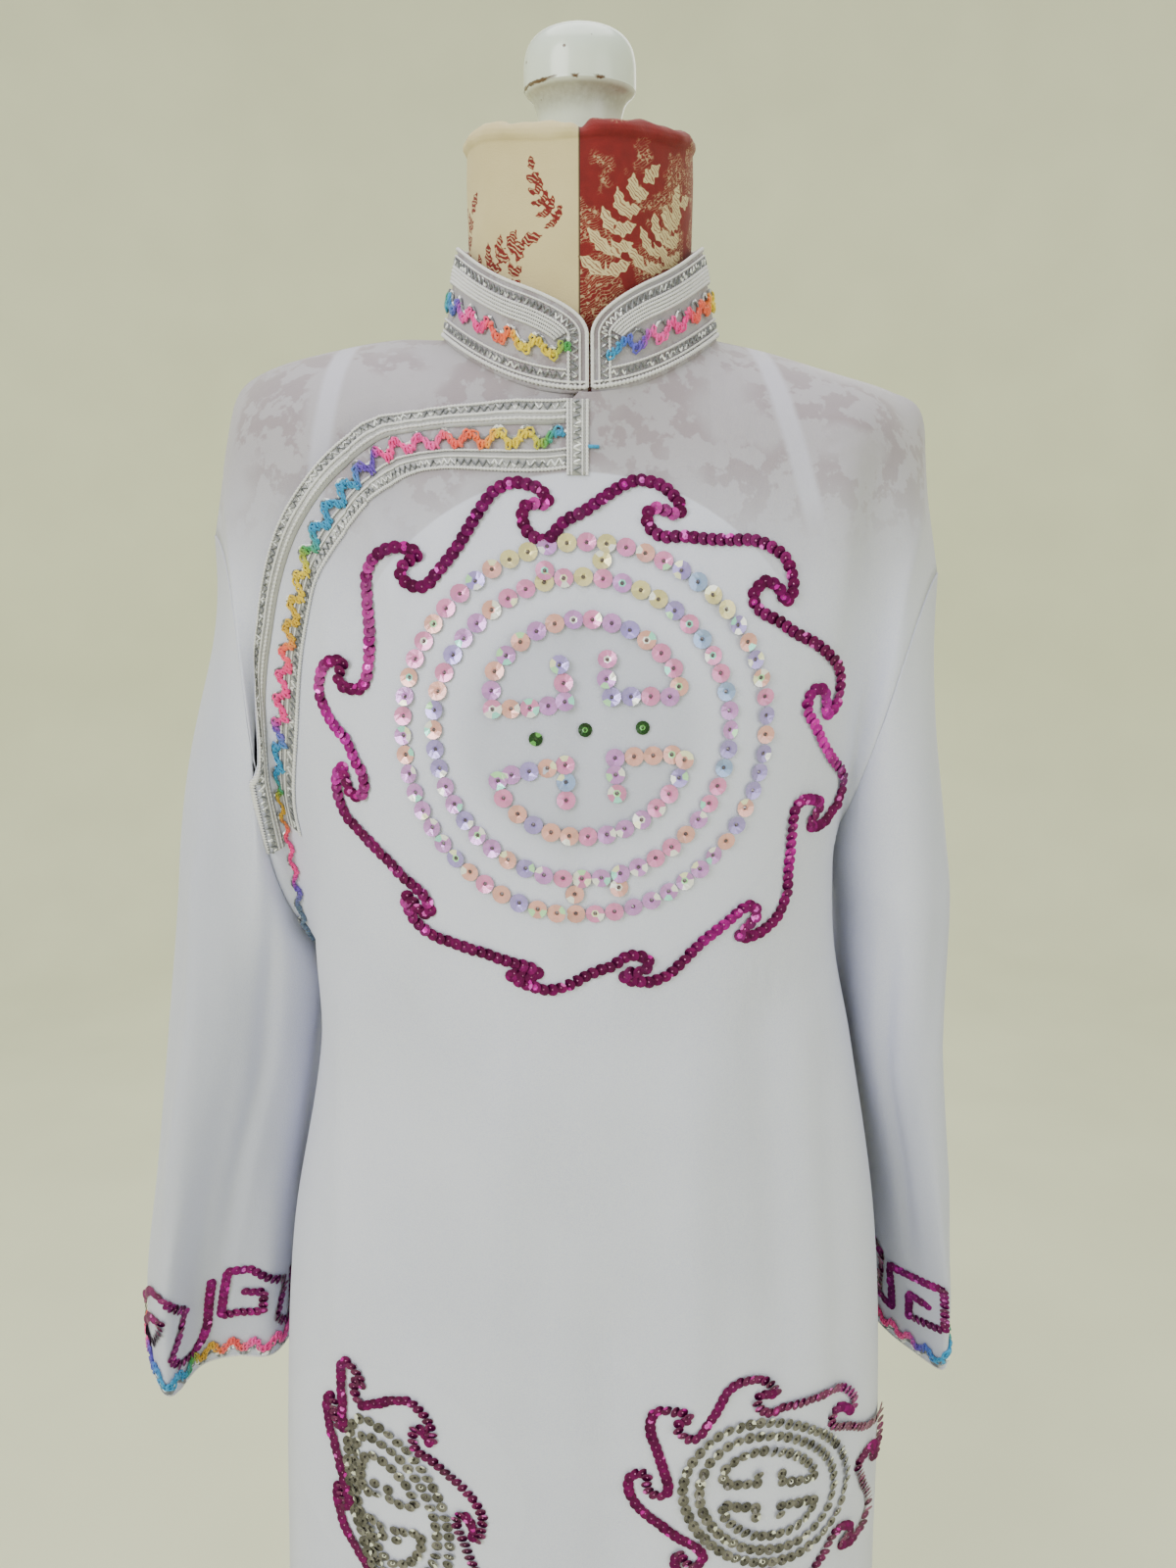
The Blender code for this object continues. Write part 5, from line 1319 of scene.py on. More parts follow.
def yarns(name, runs, material, smooth_shade=True, dye=None):
    """Round yarns in one mesh with capped ends. A run is its surface, its path, its radius and its sides."""
    points, faces, uvs, tints, start = [], [], [], [], 0
    for surface, path, radius, sides in runs:
        rows = len(path)
        points.append(surface(*np.moveaxis(swept(path, radius, sides), -1, 0)).reshape(-1, 3))
        faces.extend((grid_faces(rows, sides + 1, closed=True) + start).tolist())
        faces.append([start + n for n in range(sides)])
        faces.append([start + (rows - 1) * sides + n for n in reversed(range(sides))])
        uvs.append(np.stack([np.repeat(path[:, 0], sides), np.tile(np.arange(sides) / sides, rows)], axis=-1))
        if dye is not None:
            shade = dice.uniform(0.80, 1.12, (rows, 1))
            tints.append(np.repeat(np.clip(dye(path[:, 0]) * shade, 0.0, 1.0), sides, axis=0))
        start += rows * sides
    obj = mesh_object(name, np.concatenate(points), faces, material, np.concatenate(uvs), smooth_shade)
    if dye is not None:
        paint(obj.data, np.concatenate(tints), "POINT")
    face_outwards(obj.data)
    return obj


def steps(start, end, step):
    return np.linspace(start, end, max(3, int(abs(end - start) / step) + 1))


def cord_run(surface, start, end, across, radius=0.0007, lump=0.2, pitch=0.0017, up=0.0008):
    """A corded edge: a cord whose thickness swells and shrinks with its stitches."""
    along = steps(start, end, pitch / 4)
    swell = radius * (1 + lump * np.sin(2 * math.pi * along / pitch))
    return surface, point(along, across, up), swell, 6


def cords(surface, start, end, *rows):
    """Cords side by side. A row is how far across a cord lies, then its radius, lump, pitch and height."""
    return [cord_run(surface, start, end, *row) for row in rows]


def zigzag_run(surface, start, end, across, reach=0.0015, pitch=0.0038):
    """A strand of tinsel laid in a zigzag."""
    along = steps(start, end, pitch / 8)
    leg = np.abs(np.mod(along / pitch, 1.0) * 2 - 1) * 2 - 1
    return surface, point(along, across + reach * leg, 0.0009), 0.0005, 4


def wave_at(along, reach, period):
    turn = 2 * math.pi * along / period
    return reach * (np.sin(turn) + 0.12 * np.sin(3 * turn))


def straight(across):
    """A line at one distance across, where a rickrack can run."""
    return lambda along: np.full(np.shape(along), across)


RICKRACK_UP = 0.0010


def edge_run(surface, start, end, across, reach, period, radius=0.0007):
    """The wavy tinsel strand along one side of a rickrack."""
    along = steps(start, end, period / 22)
    bumps = 0.0003 * np.sin(2 * math.pi * along / 0.0021)
    wavy = across(along) + wave_at(along, reach, period) + bumps
    return surface, point(along, wavy, RICKRACK_UP), radius, 5


def crochet_runs(surface, start, end, across, reach, period, loop=0.0017):
    """A crocheted rickrack: a core strand with a looped strand wound about it."""
    along = steps(start, end, 0.0011)
    core = point(along, across(along) + wave_at(along, reach, period), RICKRACK_UP - 0.0002)
    along = steps(start, end, 0.00024)
    turn = 2 * math.pi * along / 0.0027 + 0.9 * np.sin(along * 1900.0)
    size = loop * (1.0 + 0.28 * np.sin(along * 3300.0) + 0.15 * np.sin(along * 7100.0))
    path = point(
        along + 0.9 * size * np.cos(turn),
        across(along) + wave_at(along, reach, period) + 1.15 * size * np.sin(turn),
        RICKRACK_UP + 0.0006 + 0.0006 * np.cos(2 * turn + 0.5),
    )
    return [(surface, core, 0.0011, 6), (surface, path, 0.00062, 6)]


def ribbon(name, surface, start, end, low, high, up=0.0003):
    """A flat satin ribbon sewn down along its length."""
    along = steps(start, end, 0.0022)[None, :]
    across = np.linspace(low, high, 5)[:, None]
    return sheet_object(name, surface(along, across, up), SATIN, wall=0.00035)


SHADES = {
    "pink": seen(255, 82, 178), "hot": seen(255, 42, 150), "coral": seen(255, 88, 84),
    "orange": seen(250, 118, 52), "gold": seen(216, 168, 20), "yellow": seen(236, 208, 30),
    "green": seen(58, 160, 70), "sea": seen(20, 150, 205), "blue": seen(62, 96, 205),
    "purple": seen(104, 66, 190), "steel": seen(96, 120, 150),
}


def dyed(*stops):
    """The yarn's colour along its length. A stop is a shade and where it is pure, as one length in
    millimetres or as the first and last of a stretch."""
    places = 0.001 * np.array([place for _, *lengths in stops for place in lengths])
    shades = np.array([SHADES[shade] for shade, *lengths in stops for _ in lengths])
    return lambda along: at_lengths(along, places, shades)


PLACKET_DYE = dyed(
    ("sea", 0, 10), ("green", 15), ("yellow", 23, 38), ("orange", 46), ("coral", 62), ("pink", 74),
    ("hot", 104), ("purple", 111, 121), ("sea", 130, 165), ("green", 176), ("yellow", 186), ("gold", 224),
    ("coral", 234), ("hot", 246, 271), ("purple", 279), ("sea", 288, 305), ("green", 312),
    ("gold", 321, 332), ("coral", 340), ("hot", 350, 368), ("purple", 378), ("steel", 390, 440),
    ("yellow", 452),
)
COLLAR_DYE = dyed(
    ("sea", -216), ("purple", -200), ("pink", -180), ("coral", -160), ("yellow", -135), ("green", -112),
    ("sea", -94), ("purple", -80), ("pink", -72), ("hot", -56), ("coral", -50), ("orange", -39),
    ("yellow", -34, -17), ("green", -11, 0), ("sea", 2, 13), ("blue", 18), ("purple", 27), ("pink", 33),
    ("hot", 57), ("coral", 64), ("orange", 84), ("yellow", 92, 115), ("green", 128), ("sea", 148),
    ("purple", 168), ("pink", 190), ("coral", 216),
)
CUFF_DYES = {
    LEFT: dyed(
        ("green", 0, 18), ("sea", 29, 38), ("blue", 46), ("purple", 54), ("pink", 61), ("hot", 88),
        ("coral", 101), ("orange", 116), ("yellow", 131), ("green", 150), ("sea", 171), ("purple", 190),
        ("pink", 211), ("orange", 234), ("yellow", 256), ("green", 284),
    ),
    RIGHT: dyed(
        ("gold", 0), ("coral", 20), ("pink", 36), ("purple", 45), ("blue", 54), ("sea", 63, 77),
        ("green", 84), ("gold", 91, 101), ("coral", 108, 118), ("pink", 126), ("hot", 135), ("pink", 150),
        ("purple", 166), ("sea", 182), ("green", 200), ("yellow", 216), ("orange", 236), ("pink", 260),
        ("purple", 281), ("sea", 298), ("gold", 315),
    ),
}

BRAID_START = 0.0062
OUTER_STOP = 0.352
INNER_STOP = 0.336
RICKRACK_STOP = BAND_LENGTH - 0.006
WAVE_LENGTH = 0.0140


def placket_middle(along):
    """Where the rickrack runs on the band, as a distance across it."""
    places = (0.0, 0.10, 0.15, 0.20, 0.24, 0.29, 0.33, 0.46)
    shares = (0.56, 0.57, 0.64, 0.74, 0.73, 0.68, 0.54, 0.55)
    return np.interp(along, places, shares) * BAND_WIDTH


def on_rickrack_band(along, across, up):
    """The band for a rickrack that keeps its height where the band narrows."""
    middle = placket_middle(along)
    width = band_width(along, BAND_UNDERARM)
    return on_band(along, middle / BAND_WIDTH + (across - middle) / width, CLOTH_WALL / 2 + up)


def on_end(along, across, up):
    """The short upright braid at the centre front, from its top down and from its left edge across."""
    u, v = find_on_front(-0.0062 + across, 1.3522 - along)
    return dressed_front(u, v, CLOTH_WALL / 2 + up)


END_LENGTH = 0.0345
placket_outer = yarns("placket_outer_cords", cords(
    on_placket, BRAID_START, OUTER_STOP, (0.0008, 0.0007, 0.30), (0.0060, 0.0007, 0.12),
    (0.0092, 0.0007, 0.38, 0.0023),
), CORD_WHITE)
placket_inner = yarns("placket_inner_cords", cords(
    on_placket, BRAID_START, INNER_STOP, (0.0238, 0.0005, 0.20), (0.0268, 0.0005, 0.12),
    (0.0322, 0.0007, 0.34),
), CORD_WHITE)
placket_tinsel = yarns("placket_tinsel", [
    zigzag_run(on_placket, BRAID_START, OUTER_STOP, 0.0034),
    zigzag_run(on_placket, BRAID_START, INNER_STOP, 0.0295),
    edge_run(
        on_rickrack_band, BRAID_START, RICKRACK_STOP, lambda a: placket_middle(a) - 0.0031, 0.0028,
        WAVE_LENGTH,
    ),
], TINSEL, smooth_shade=False)
placket_ribbons = [
    ribbon("placket_outer_ribbon", on_placket, BRAID_START, OUTER_STOP, 0.0006, 0.0120),
    ribbon("placket_inner_ribbon", on_placket, BRAID_START, INNER_STOP, 0.0240, 0.0322),
]
placket_wave = yarns(
    "placket_rickrack_yarn",
    crochet_runs(on_rickrack_band, BRAID_START + 0.001, 0.392, placket_middle, 0.0031, WAVE_LENGTH)
    + crochet_runs(on_rickrack_band, 0.393, RICKRACK_STOP, placket_middle, 0.0020, 0.0120, loop=0.0012),
    YARN, dye=PLACKET_DYE,
)
end_path = point(0.0215, 0.0102 + steps(0.0, 0.0052, 0.0005), 0.0010)
yarn_end = yarns("placket_yarn_end", [(on_end, end_path, 0.0009, 6)], YARN, dye=dyed(("sea", 0)))
placket_end = yarns("placket_end_braid", cords(
    on_end, 0.0, END_LENGTH, (0.0008,), (0.0098,), (0.0026, 0.0004), (0.0076, 0.0004),
), CORD_WHITE)
end_tinsel = yarns(
    "placket_end_tinsel", [zigzag_run(on_end, 0.0005, 0.0342, 0.0053, reach=0.0020, pitch=0.0034)], TINSEL,
    smooth_shade=False,
)
end_ribbon = ribbon("placket_end_ribbon", on_end, 0.0, END_LENGTH, 0.0006, 0.0100, up=0.0005)

COLLAR_START = 0.0090
COLLAR_WAVE_AT = 0.0170
EDGE_STOP = EDGE_REACH[-1]
top_cords, top_tinsel, base_cords, base_tinsel = [], [], [], []
for hand in (RIGHT, LEFT):
    edge, side = on_collar_edge(hand), on_collar_side(hand)
    top_cords += cords(
        edge, 0.0, EDGE_STOP, (0.0004, 0.0009, 0.06, 0.0017, 0.0004), (0.0036, 0.0005, 0.12),
        (0.0088, 0.0007, 0.30),
    )
    thick = [(0.0088 + 0.0017 * n, 0.0008, 0.34, 0.0014) for n in (1, 2, 3, 4)]
    top_cords += cords(edge, 0.030, EDGE_STOP, *thick)
    top_tinsel += [zigzag_run(edge, 0.001, EDGE_STOP, 0.0062, reach=0.0016)]
    base_cords += cords(side, 0.0012, COLLAR_HALF, (0.0010, 0.0010, 0.32, 0.0020), (0.0032, 0.0006))
    base_cords += cords(side, 0.0105, COLLAR_HALF, (0.0086, 0.0006))
    base_tinsel += [
        zigzag_run(side, 0.0105, COLLAR_HALF, 0.0058),
        edge_run(side, COLLAR_START, COLLAR_HALF, straight(COLLAR_WAVE_AT + 0.0030), -0.0026, WAVE_LENGTH),
    ]
collar_top = yarns("collar_edge_cords", top_cords, CORD_WHITE)
collar_bottom = yarns("collar_base_cords", base_cords, CORD_WHITE)
collar_tinsel = yarns("collar_tinsel", top_tinsel + base_tinsel, TINSEL, smooth_shade=False)
collar_wave = yarns(
    "collar_rickrack_yarn",
    crochet_runs(on_collar, -COLLAR_HALF, -COLLAR_START, straight(COLLAR_WAVE_AT), 0.0028, WAVE_LENGTH)
    + crochet_runs(on_collar, COLLAR_START, COLLAR_HALF, straight(COLLAR_WAVE_AT), 0.0028, WAVE_LENGTH),
    YARN, dye=COLLAR_DYE,
)

cuff_waves, cuff_tinsels = [], []
for word, hand in (("left", LEFT), ("right", RIGHT)):
    surface, girth = on_cuff(hand), GIRTHS[hand][1][-1]
    period = girth / round(girth / WAVE_LENGTH)
    waves = crochet_runs(surface, 0.0, girth, straight(0.0110), 0.0034, period, loop=0.0021)
    strands = [
        edge_run(surface, 0.0, girth, straight(0.0072), 0.0032, period, radius=0.0009),
        edge_run(surface, 0.0, girth, straight(0.0054), 0.0030, period, radius=0.0008),
    ]
    hem = cords(surface, 0.0, girth, (0.0006, 0.0008, 0.08, 0.0017, -0.0002))
    cuff_waves.append(yarns(f"{word}_cuff_rickrack_yarn", waves, YARN, dye=CUFF_DYES[hand]))
    cuff_tinsels.append(yarns(f"{word}_cuff_tinsel", strands, TINSEL, smooth_shade=False))
    cuff_tinsels.append(yarns(f"{word}_cuff_hem_cord", hem, CORD_WHITE))


# Sequin work

CHEST_CENTRE = (0.0026, 1.2034)
LEFT_HIP_CENTRE = (0.1057, 0.7615)
RIGHT_HIP_CENTRE = (-0.1131, 0.7448)
CUP = 0.0092
SILVER_CUP = 0.0066
STRING = 0.0064
STRING_STEP = 0.0043
SPIN = 60  # the sequins' facets repeat after this many degrees
IN_BEAD, IN_RIM, IN_BACK, IN_WAIST = range(4)  # the parts of a sequin that a facet can be in


def pick(obj, test):
    """Selects the vertices that pass a test on their place, in edit mode."""
    builder = bmesh.from_edit_mesh(obj.data)
    for vert in builder.verts:
        vert.select = test(vert.co)
    builder.select_flush(True)
    builder.select_flush(False)
    bmesh.update_edit_mesh(obj.data)


def reach_of(co):
    return math.hypot(co.x, co.y)


def model_sequin(waist, rise, bead):
    """One cup sequin of radius 1: a thread bead, a flat waist, six facets up to a round rim, and its back.
    Its points and facets are put in one fixed order, since modelling numbers them differently in each run."""
    bpy.ops.object.select_all(action="DESELECT")
    lift = 0.06
    bpy.ops.mesh.primitive_cone_add(
        vertices=6, radius1=bead, radius2=0.0, depth=bead, end_fill_type="NOTHING",
        location=(0, 0, bead / 2 + lift),
    )
    obj = bpy.context.active_object
    bpy.ops.object.transform_apply(location=True)
    bpy.ops.object.mode_set(mode="EDIT")
    bpy.context.tool_settings.mesh_select_mode = (True, False, False)
    pick(obj, lambda co: reach_of(co) > bead / 2)
    last, height = bead, lift
    for radius, z in ((waist, 0.10), (1.0, rise)):
        bpy.ops.mesh.extrude_region_move(TRANSFORM_OT_translate={"value": (0, 0, z - height)})
        bpy.ops.transform.resize(value=(radius / last, radius / last, 1), center_override=(0, 0, z))
        last, height = radius, z
    bpy.ops.mesh.subdivide(number_cuts=1)
    pick(obj, lambda co: 0.80 < reach_of(co) < 0.95 and co.z > rise - 0.01)
    bpy.ops.transform.resize(value=(1.155, 1.155, 1), center_override=(0, 0, rise))
    pick(obj, lambda co: reach_of(co) > 0.95)
    bpy.ops.mesh.extrude_region_move(TRANSFORM_OT_translate={"value": (0, 0, -rise)})
    bpy.ops.transform.resize(value=(0.02, 0.02, 1), center_override=(0, 0, 0))
    bpy.ops.mesh.merge(type="CENTER")
    bpy.ops.mesh.select_all(action="SELECT")
    bpy.ops.mesh.normals_make_consistent(inside=False)
    bpy.ops.object.mode_set(mode="OBJECT")
    points = np.array([vert.co[:] for vert in obj.data.vertices])
    order = np.lexsort(np.round(points, 5).T)
    facets = []
    for face in obj.data.polygons:
        corners = np.argsort(order)[list(face.vertices)].tolist()
        facets.append((sorted(corners), corners, face.normal.z > 0))
    facets.sort()
    points, faces = points[order], [corners for _, corners, _ in facets]
    reach = np.array([np.hypot(*points[face, :2].mean(axis=0)) for face in faces])
    front = np.array([ahead for _, _, ahead in facets])
    bpy.data.objects.remove(obj)
    inner = [~front, reach < bead * 0.8, reach < waist * 0.95]
    kinds = np.select(inner, [IN_BACK, IN_BEAD, IN_WAIST], IN_RIM)
    return points, faces, kinds


class Stitches:
    """Where sequins sit: places, the way that their line runs, and the cloth's outward direction."""

    def __init__(self, places, ways, normals, flat):
        self.places, self.ways, self.normals, self.flat = places, ways, normals, flat

    def __len__(self):
        return len(self.places)


def gather(runs):
    """Several runs of stitches as one."""
    columns = [[getattr(run, name) for run in runs] for name in ("places", "ways", "normals", "flat")]
    return Stitches(*(np.concatenate(column) for column in columns))


def stitch(line, surface, step, closed=False):
    """Evenly spaced stitches along a flat line that a surface function lays on the cloth."""
    if closed:
        line = np.concatenate([line, line[:1]])
    places, normals = surface(line)
    lengths = running_length(places)
    count = max(2, round(lengths[-1] / step) + (0 if closed else 1))
    at = np.linspace(0.0, lengths[-1], count, endpoint=not closed)
    columns = (places, unit(np.gradient(places, axis=0)), normals, line)
    places, ways, normals, flat = (at_lengths(at, lengths, values) for values in columns)
    return Stitches(places, unit(ways), unit(normals), flat)


def single_stitches(flat):
    """Sequins sewn on one by one at flat places of the front."""
    places, normals = lay_on_front(flat)
    return Stitches(places, np.tile((1.0, 0.0, 0.0), (len(flat), 1)), normals, flat)


def lay_on_front(line):
    u, v = find_on_front(line[:, 0], line[:, 1])
    return dressed_front(u, v, CLOTH_WALL / 2), outward(FRONT, u, v)


def sew(name, shape, stitches, radius, tints, material, leans, spins, stand=0.0):
    """A sequin at every stitch, each with its own lean, turn and colours, all in one mesh."""
    points, faces, kinds = shape
    normal = stitches.normals
    way = unit(stitches.ways - normal * (stitches.ways * normal).sum(-1, keepdims=True))
    side = np.cross(normal, way)
    lean_way, lean_side = np.radians(leans[:, :1]), np.radians(leans[:, 1:])
    top = unit(normal + way * np.tan(lean_way) + side * np.tan(lean_side))
    way = unit(way - top * (way * top).sum(-1, keepdims=True))
    side = np.cross(top, way)
    spin = np.radians(spins)[:, None]
    turned_way = way * np.cos(spin) + side * np.sin(spin)
    turned_side = np.cross(top, turned_way)
    lift = radius * np.tan(np.abs(lean_way)) * 0.8 + stand
    centre = stitches.places + normal * lift
    grid = (
        centre[:, None]
        + (points[None, :, :1] * turned_way[:, None] + points[None, :, 1:2] * turned_side[:, None]) * radius
        + points[None, :, 2:] * top[:, None] * radius
    )
    every = [[index + n * len(points) for index in face] for n in range(len(stitches)) for face in faces]
    obj = mesh_object(name, grid, every, material, smooth_shade=False)
    paint(obj.data, np.repeat(tints, [len(face) for face in faces], axis=1).reshape(-1, 3), "CORNER")
    return obj


def facet_tints(stitches, kinds, colours, bead, spread, glints, glint_share, wash=0.0, pale=1.0):
    """Colours for every facet: each sequin's own, varied a little, with some facets that flash."""
    count = len(stitches)
    tints = np.repeat(colours[:, None], len(kinds), axis=1)
    tints = tints * dice.uniform(1 - spread, 1 + spread, (count, len(kinds), 1))
    flash = dice.random((count, len(kinds))) < glint_share
    chosen = np.array(glints)[dice.integers(0, len(glints), (count, len(kinds)))]
    tints = np.where(flash[..., None], chosen, tints)
    tints[:, kinds == IN_RIM] += (pale - tints[:, kinds == IN_RIM]) * wash
    waist = np.where(dice.random((count, 1)) < glint_share * 1.8, chosen[:, 0], colours)
    tints[:, kinds == IN_WAIST] = waist[:, None] * dice.uniform(0.92, 1.08, (count, 1, 1))
    tints[:, kinds == IN_BEAD] = np.array(bead)
    tints[:, kinds == IN_BACK] = colours[:, None] * 0.5
    return np.clip(tints, 0.0, 1.0)


def sequin_finish(name, roughness, metallic, coat):
    finish = Finish(name, roughness, metallic=metallic, coat_weight=coat, coat_roughness=0.12)
    tint = finish.attribute("tint", out=0)
    wear = finish.noise(finish.place(), 900.0, 1.0)
    colour = finish.mix(finish.between(wear, 0.35, 0.75) * 0.25, tint, (0.9, 0.9, 0.95), blend="MULTIPLY")
    return finish.feed(base_color=colour)


def arc(centre, radius, start, end, count=90):
    """Points on a circle, from one clock angle to another in degrees, 0 at the top and clockwise."""
    angle = np.radians(np.linspace(start, end, count))
    return np.stack([centre[0] + radius * np.sin(angle), centre[1] + radius * np.cos(angle)], axis=-1)


def offsets(centre, scale, *points):
    return np.array([(centre[0] + x * scale, centre[1] + z * scale) for x, z in points])


# One wave as its share of the way to the next trough and its share of the height
WAVE = (
    (0.00, 0.00), (0.18, 0.15), (0.334, 0.30), (0.473, 0.52), (0.597, 0.77), (0.723, 0.97), (0.853, 1.00),
    (0.965, 0.90), (1.043, 0.75), (1.075, 0.52), (0.991, 0.55), (0.893, 0.53), (0.85, 0.35), (0.882, 0.10),
)


def wave_ring(centre, troughs, depths, crests):
    """A ring of waves that break clockwise. troughs are clock angles, depths and crests their radii."""
    line = []
    for i, angle in enumerate(troughs):
        after = (i + 1) % len(troughs)
        period = (troughs[after] - angle) % 360
        wobble = dice.uniform(-0.03, 0.03, (len(WAVE), 2))
        for (share, height), (shift, lift) in zip(WAVE, wobble):
            share, height = share + shift * 0.4, height + lift
            low = depths[i] + (depths[after] - depths[i]) * share
            radius = low + (crests[i] - low) * height
            turn = math.radians(angle + period * share)
            line.append((centre[0] + radius * math.sin(turn), centre[1] + radius * math.cos(turn)))
    return smooth_ring(line, 8)


def hidden_key(leg, far, top, low, foot, inner):
    """One key of the fret, from the foot of its leg up and round to its inner end."""
    span = far - leg
    return [
        (leg, foot), (leg, top), (far, top), (far, low), (leg + 0.42 * span, low), (leg + 0.40 * span, inner),
        (leg + 0.74 * span, inner),
    ]


# The cuffs' keys that show from the front, as lengths round the cuff and heights above the hem in millimetres
DRAWN_KEYS = {
    LEFT: ((
        (124, 53), (112, 53), (112, 34), (136, 34), (136, 72), (99.4, 74.5), (90.8, 74.5), (86, 69.4),
        (87.6, 47.3), (88.4, 32), (81.3, 28.6), (75, 30.3), (78.1, 66), (35.5, 74.5), (34.7, 38.8),
        (61.6, 32), (61.6, 52.4), (47.4, 52.4),
    ),),
    RIGHT: ((
        (36, 25), (48, 42), (63.1, 55.8), (61.4, 45.6), (52, 25), (30, 14), (22, 30), (34.2, 44), (50, 64),
        (63.1, 74.5), (80.7, 57.5), (75.4, 43.9), (67.5, 28.6), (74.5, 20.1), (85.9, 16.7), (93.8, 21.8),
        (97.3, 32), (98.2, 49), (99.1, 64.3),
    ), (
        (121, 52.4), (132.4, 52.4), (132.4, 37.1), (106.1, 35.4), (108.7, 69.4), (123.6, 69.4), (149, 52.4),
        (142, 28.6), (148, 20.1), (158, 18), (158, 56), (198, 56), (198, 21), (175, 21), (174, 39),
        (188, 39),
    )),
}
# The keys on each cuff's hidden side: shared heights, and the lengths round the cuff of each one's leg and
# far side
HIDDEN_KEYS = {
    LEFT: ((0.068, 0.031, 0.025, 0.052), ((0.207, 0.163), (0.219, 0.263))),
    RIGHT: ((0.056, 0.021, 0.017, 0.039), ((0.262, 0.222), (0.274, 0.307))),
}


def fret_lines(hand):
    heights, (first, second) = HIDDEN_KEYS[hand]
    hidden = hidden_key(*first, *heights)[::-1] + hidden_key(*second, *heights)
    return [hidden, *(np.array(line) * 0.001 for line in DRAWN_KEYS[hand])]


def cornered(points, step=0.0006):
    """Points close together along straight stretches."""
    points = np.asarray(points, float)
    pieces = []
    for start, end in zip(points, points[1:]):
        count = max(2, int(np.linalg.norm(end - start) / step))
        pieces.append(start + (end - start) * np.linspace(0.0, 1.0, count, endpoint=False)[:, None])
    return np.concatenate(pieces + [points[-1:]])


def lay_on_cuff(hand):
    surface = on_cuff(hand)

    def lay(line):
        places = surface(line[:, 0], line[:, 1], 0.0)
        normals = unit(surface(line[:, 0], line[:, 1], 0.001) - places)
        return places, normals

    return lay


def turned_ring(centre, radius):
    return arc(centre, radius, 0, 360, count=221)[:-1]


chest = np.array(CHEST_CENTRE)


def on_chest(*points):
    """Flat places on the chest, as millimetres to the wearer's left of the roundel's centre and above it."""
    return offsets(chest, 0.001, *points)


cups = gather([
    stitch(turned_ring(chest + (0.0008, -0.0018), 0.0862), lay_on_front, CUP * 1.01, closed=True),
    stitch(turned_ring(chest + (-0.0008, -0.0008), 0.0696), lay_on_front, CUP * 1.01, closed=True),
    stitch(on_chest((-43, 9.5), (-26, 10), (-9.5, 12), (-10, 21), (-12, 29.5)), lay_on_front, CUP * 0.9),
    stitch(np.concatenate([
        on_chest((-43.5, 18)), arc(chest, 0.0500, -57, 56),
        on_chest((44, 22), (44, 15), (28, 15.5), (12, 15), (10, 23.5), (10.5, 32)),
    ]), lay_on_front, CUP),
    stitch(on_chest((-9, -32.5), (-9, -16), (-24, -18.5), (-41, -22), (-38, -31.5)), lay_on_front, CUP * 0.9),
    stitch(np.concatenate([
        arc(chest, 0.0500, 219, 112), on_chest((47, -12), (30, -12), (13, -13), (14.5, -21.5), (15, -29.5)),
    ]), lay_on_front, CUP),
    single_stitches(on_chest((-19, 71.5), (8, 76.5), (-5, -78), (16, -75))),
])

CHEST_TROUGHS = (-47, -12, 22, 57, 88, 115, 142, 169, 195, 224, 256, 282)
CHEST_DEPTHS = np.array((98, 88, 95, 98, 109, 114, 120, 112, 117, 113, 110, 105)) * 0.001
CHEST_CRESTS = np.array((116, 116, 122, 128, 140, 139, 128, 127, 126, 127, 129, 124)) * 0.001
chest_waves = stitch(
    wave_ring(CHEST_CENTRE, CHEST_TROUGHS, CHEST_DEPTHS, CHEST_CRESTS), lay_on_front, STRING_STEP, closed=True
)


def pulled(line, right, left, up):
    """A flat drawing as the cloth pulls it: right half, left half and height each go their own way."""
    across, height = line.T
    turn = np.hypot(across, 0.006) - 0.006
    halves = ((across + turn) / 2)[:, None] * right, ((across - turn) / 2)[:, None] * left
    return halves[0] + halves[1] + height[:, None] * up


def hip_work(centre, first, right, left, up):
    """A hip roundel's silver cups and the waves round it, drawn flat and then pulled with the cloth."""
    middle, ways = np.array(centre), (np.array(right), np.array(left), np.array(up))
    centre = np.zeros(2)

    def lay(line):
        return lay_on_front(middle + pulled(line, *ways))

    s = 0.00060
    runs = [
        stitch(turned_ring(centre, 0.0475), lay, SILVER_CUP, closed=True),
        stitch(turned_ring(centre, 0.0388), lay, SILVER_CUP, closed=True),
        stitch(np.concatenate([
            offsets(centre, s, (-10, 22), (-10, 12), (-26, 10), (-42, 10)), arc(centre, 0.0290, -62, 62),
            offsets(centre, s, (43, 13), (27, 12), (12, 13), (12, 22)),
        ]), lay, SILVER_CUP * 0.96),
        stitch(np.concatenate([
            offsets(centre, s, (-11, -26), (-11, -16), (-26, -15), (-42, -13)), arc(centre, 0.0290, 240, 112),
            offsets(centre, s, (43, -11), (27, -13), (12, -14), (12, -24)),
        ]), lay, SILVER_CUP * 0.96),
    ]
    troughs = [first + 45 * n for n in range(8)]
    waves = stitch(
        wave_ring(centre, troughs, [0.0545] * 8, [0.0765] * 8), lay, STRING_STEP, closed=True
    )
    for run in (*runs, waves):
        run.flat = middle + pulled(run.flat, *ways)
    return gather(runs), waves


left_cups, left_waves = hip_work(LEFT_HIP_CENTRE, -1, (1.12, -0.46), (1.05, -0.38), (0.0, 0.98))
right_cups, right_waves = hip_work(RIGHT_HIP_CENTRE, -5, (0.826, -0.090), (0.385, -0.140), (-0.134, 1.208))
frets = {
    hand: gather([stitch(cornered(line), lay_on_cuff(hand), STRING_STEP) for line in fret_lines(hand)])
    for hand in (LEFT, RIGHT)
}

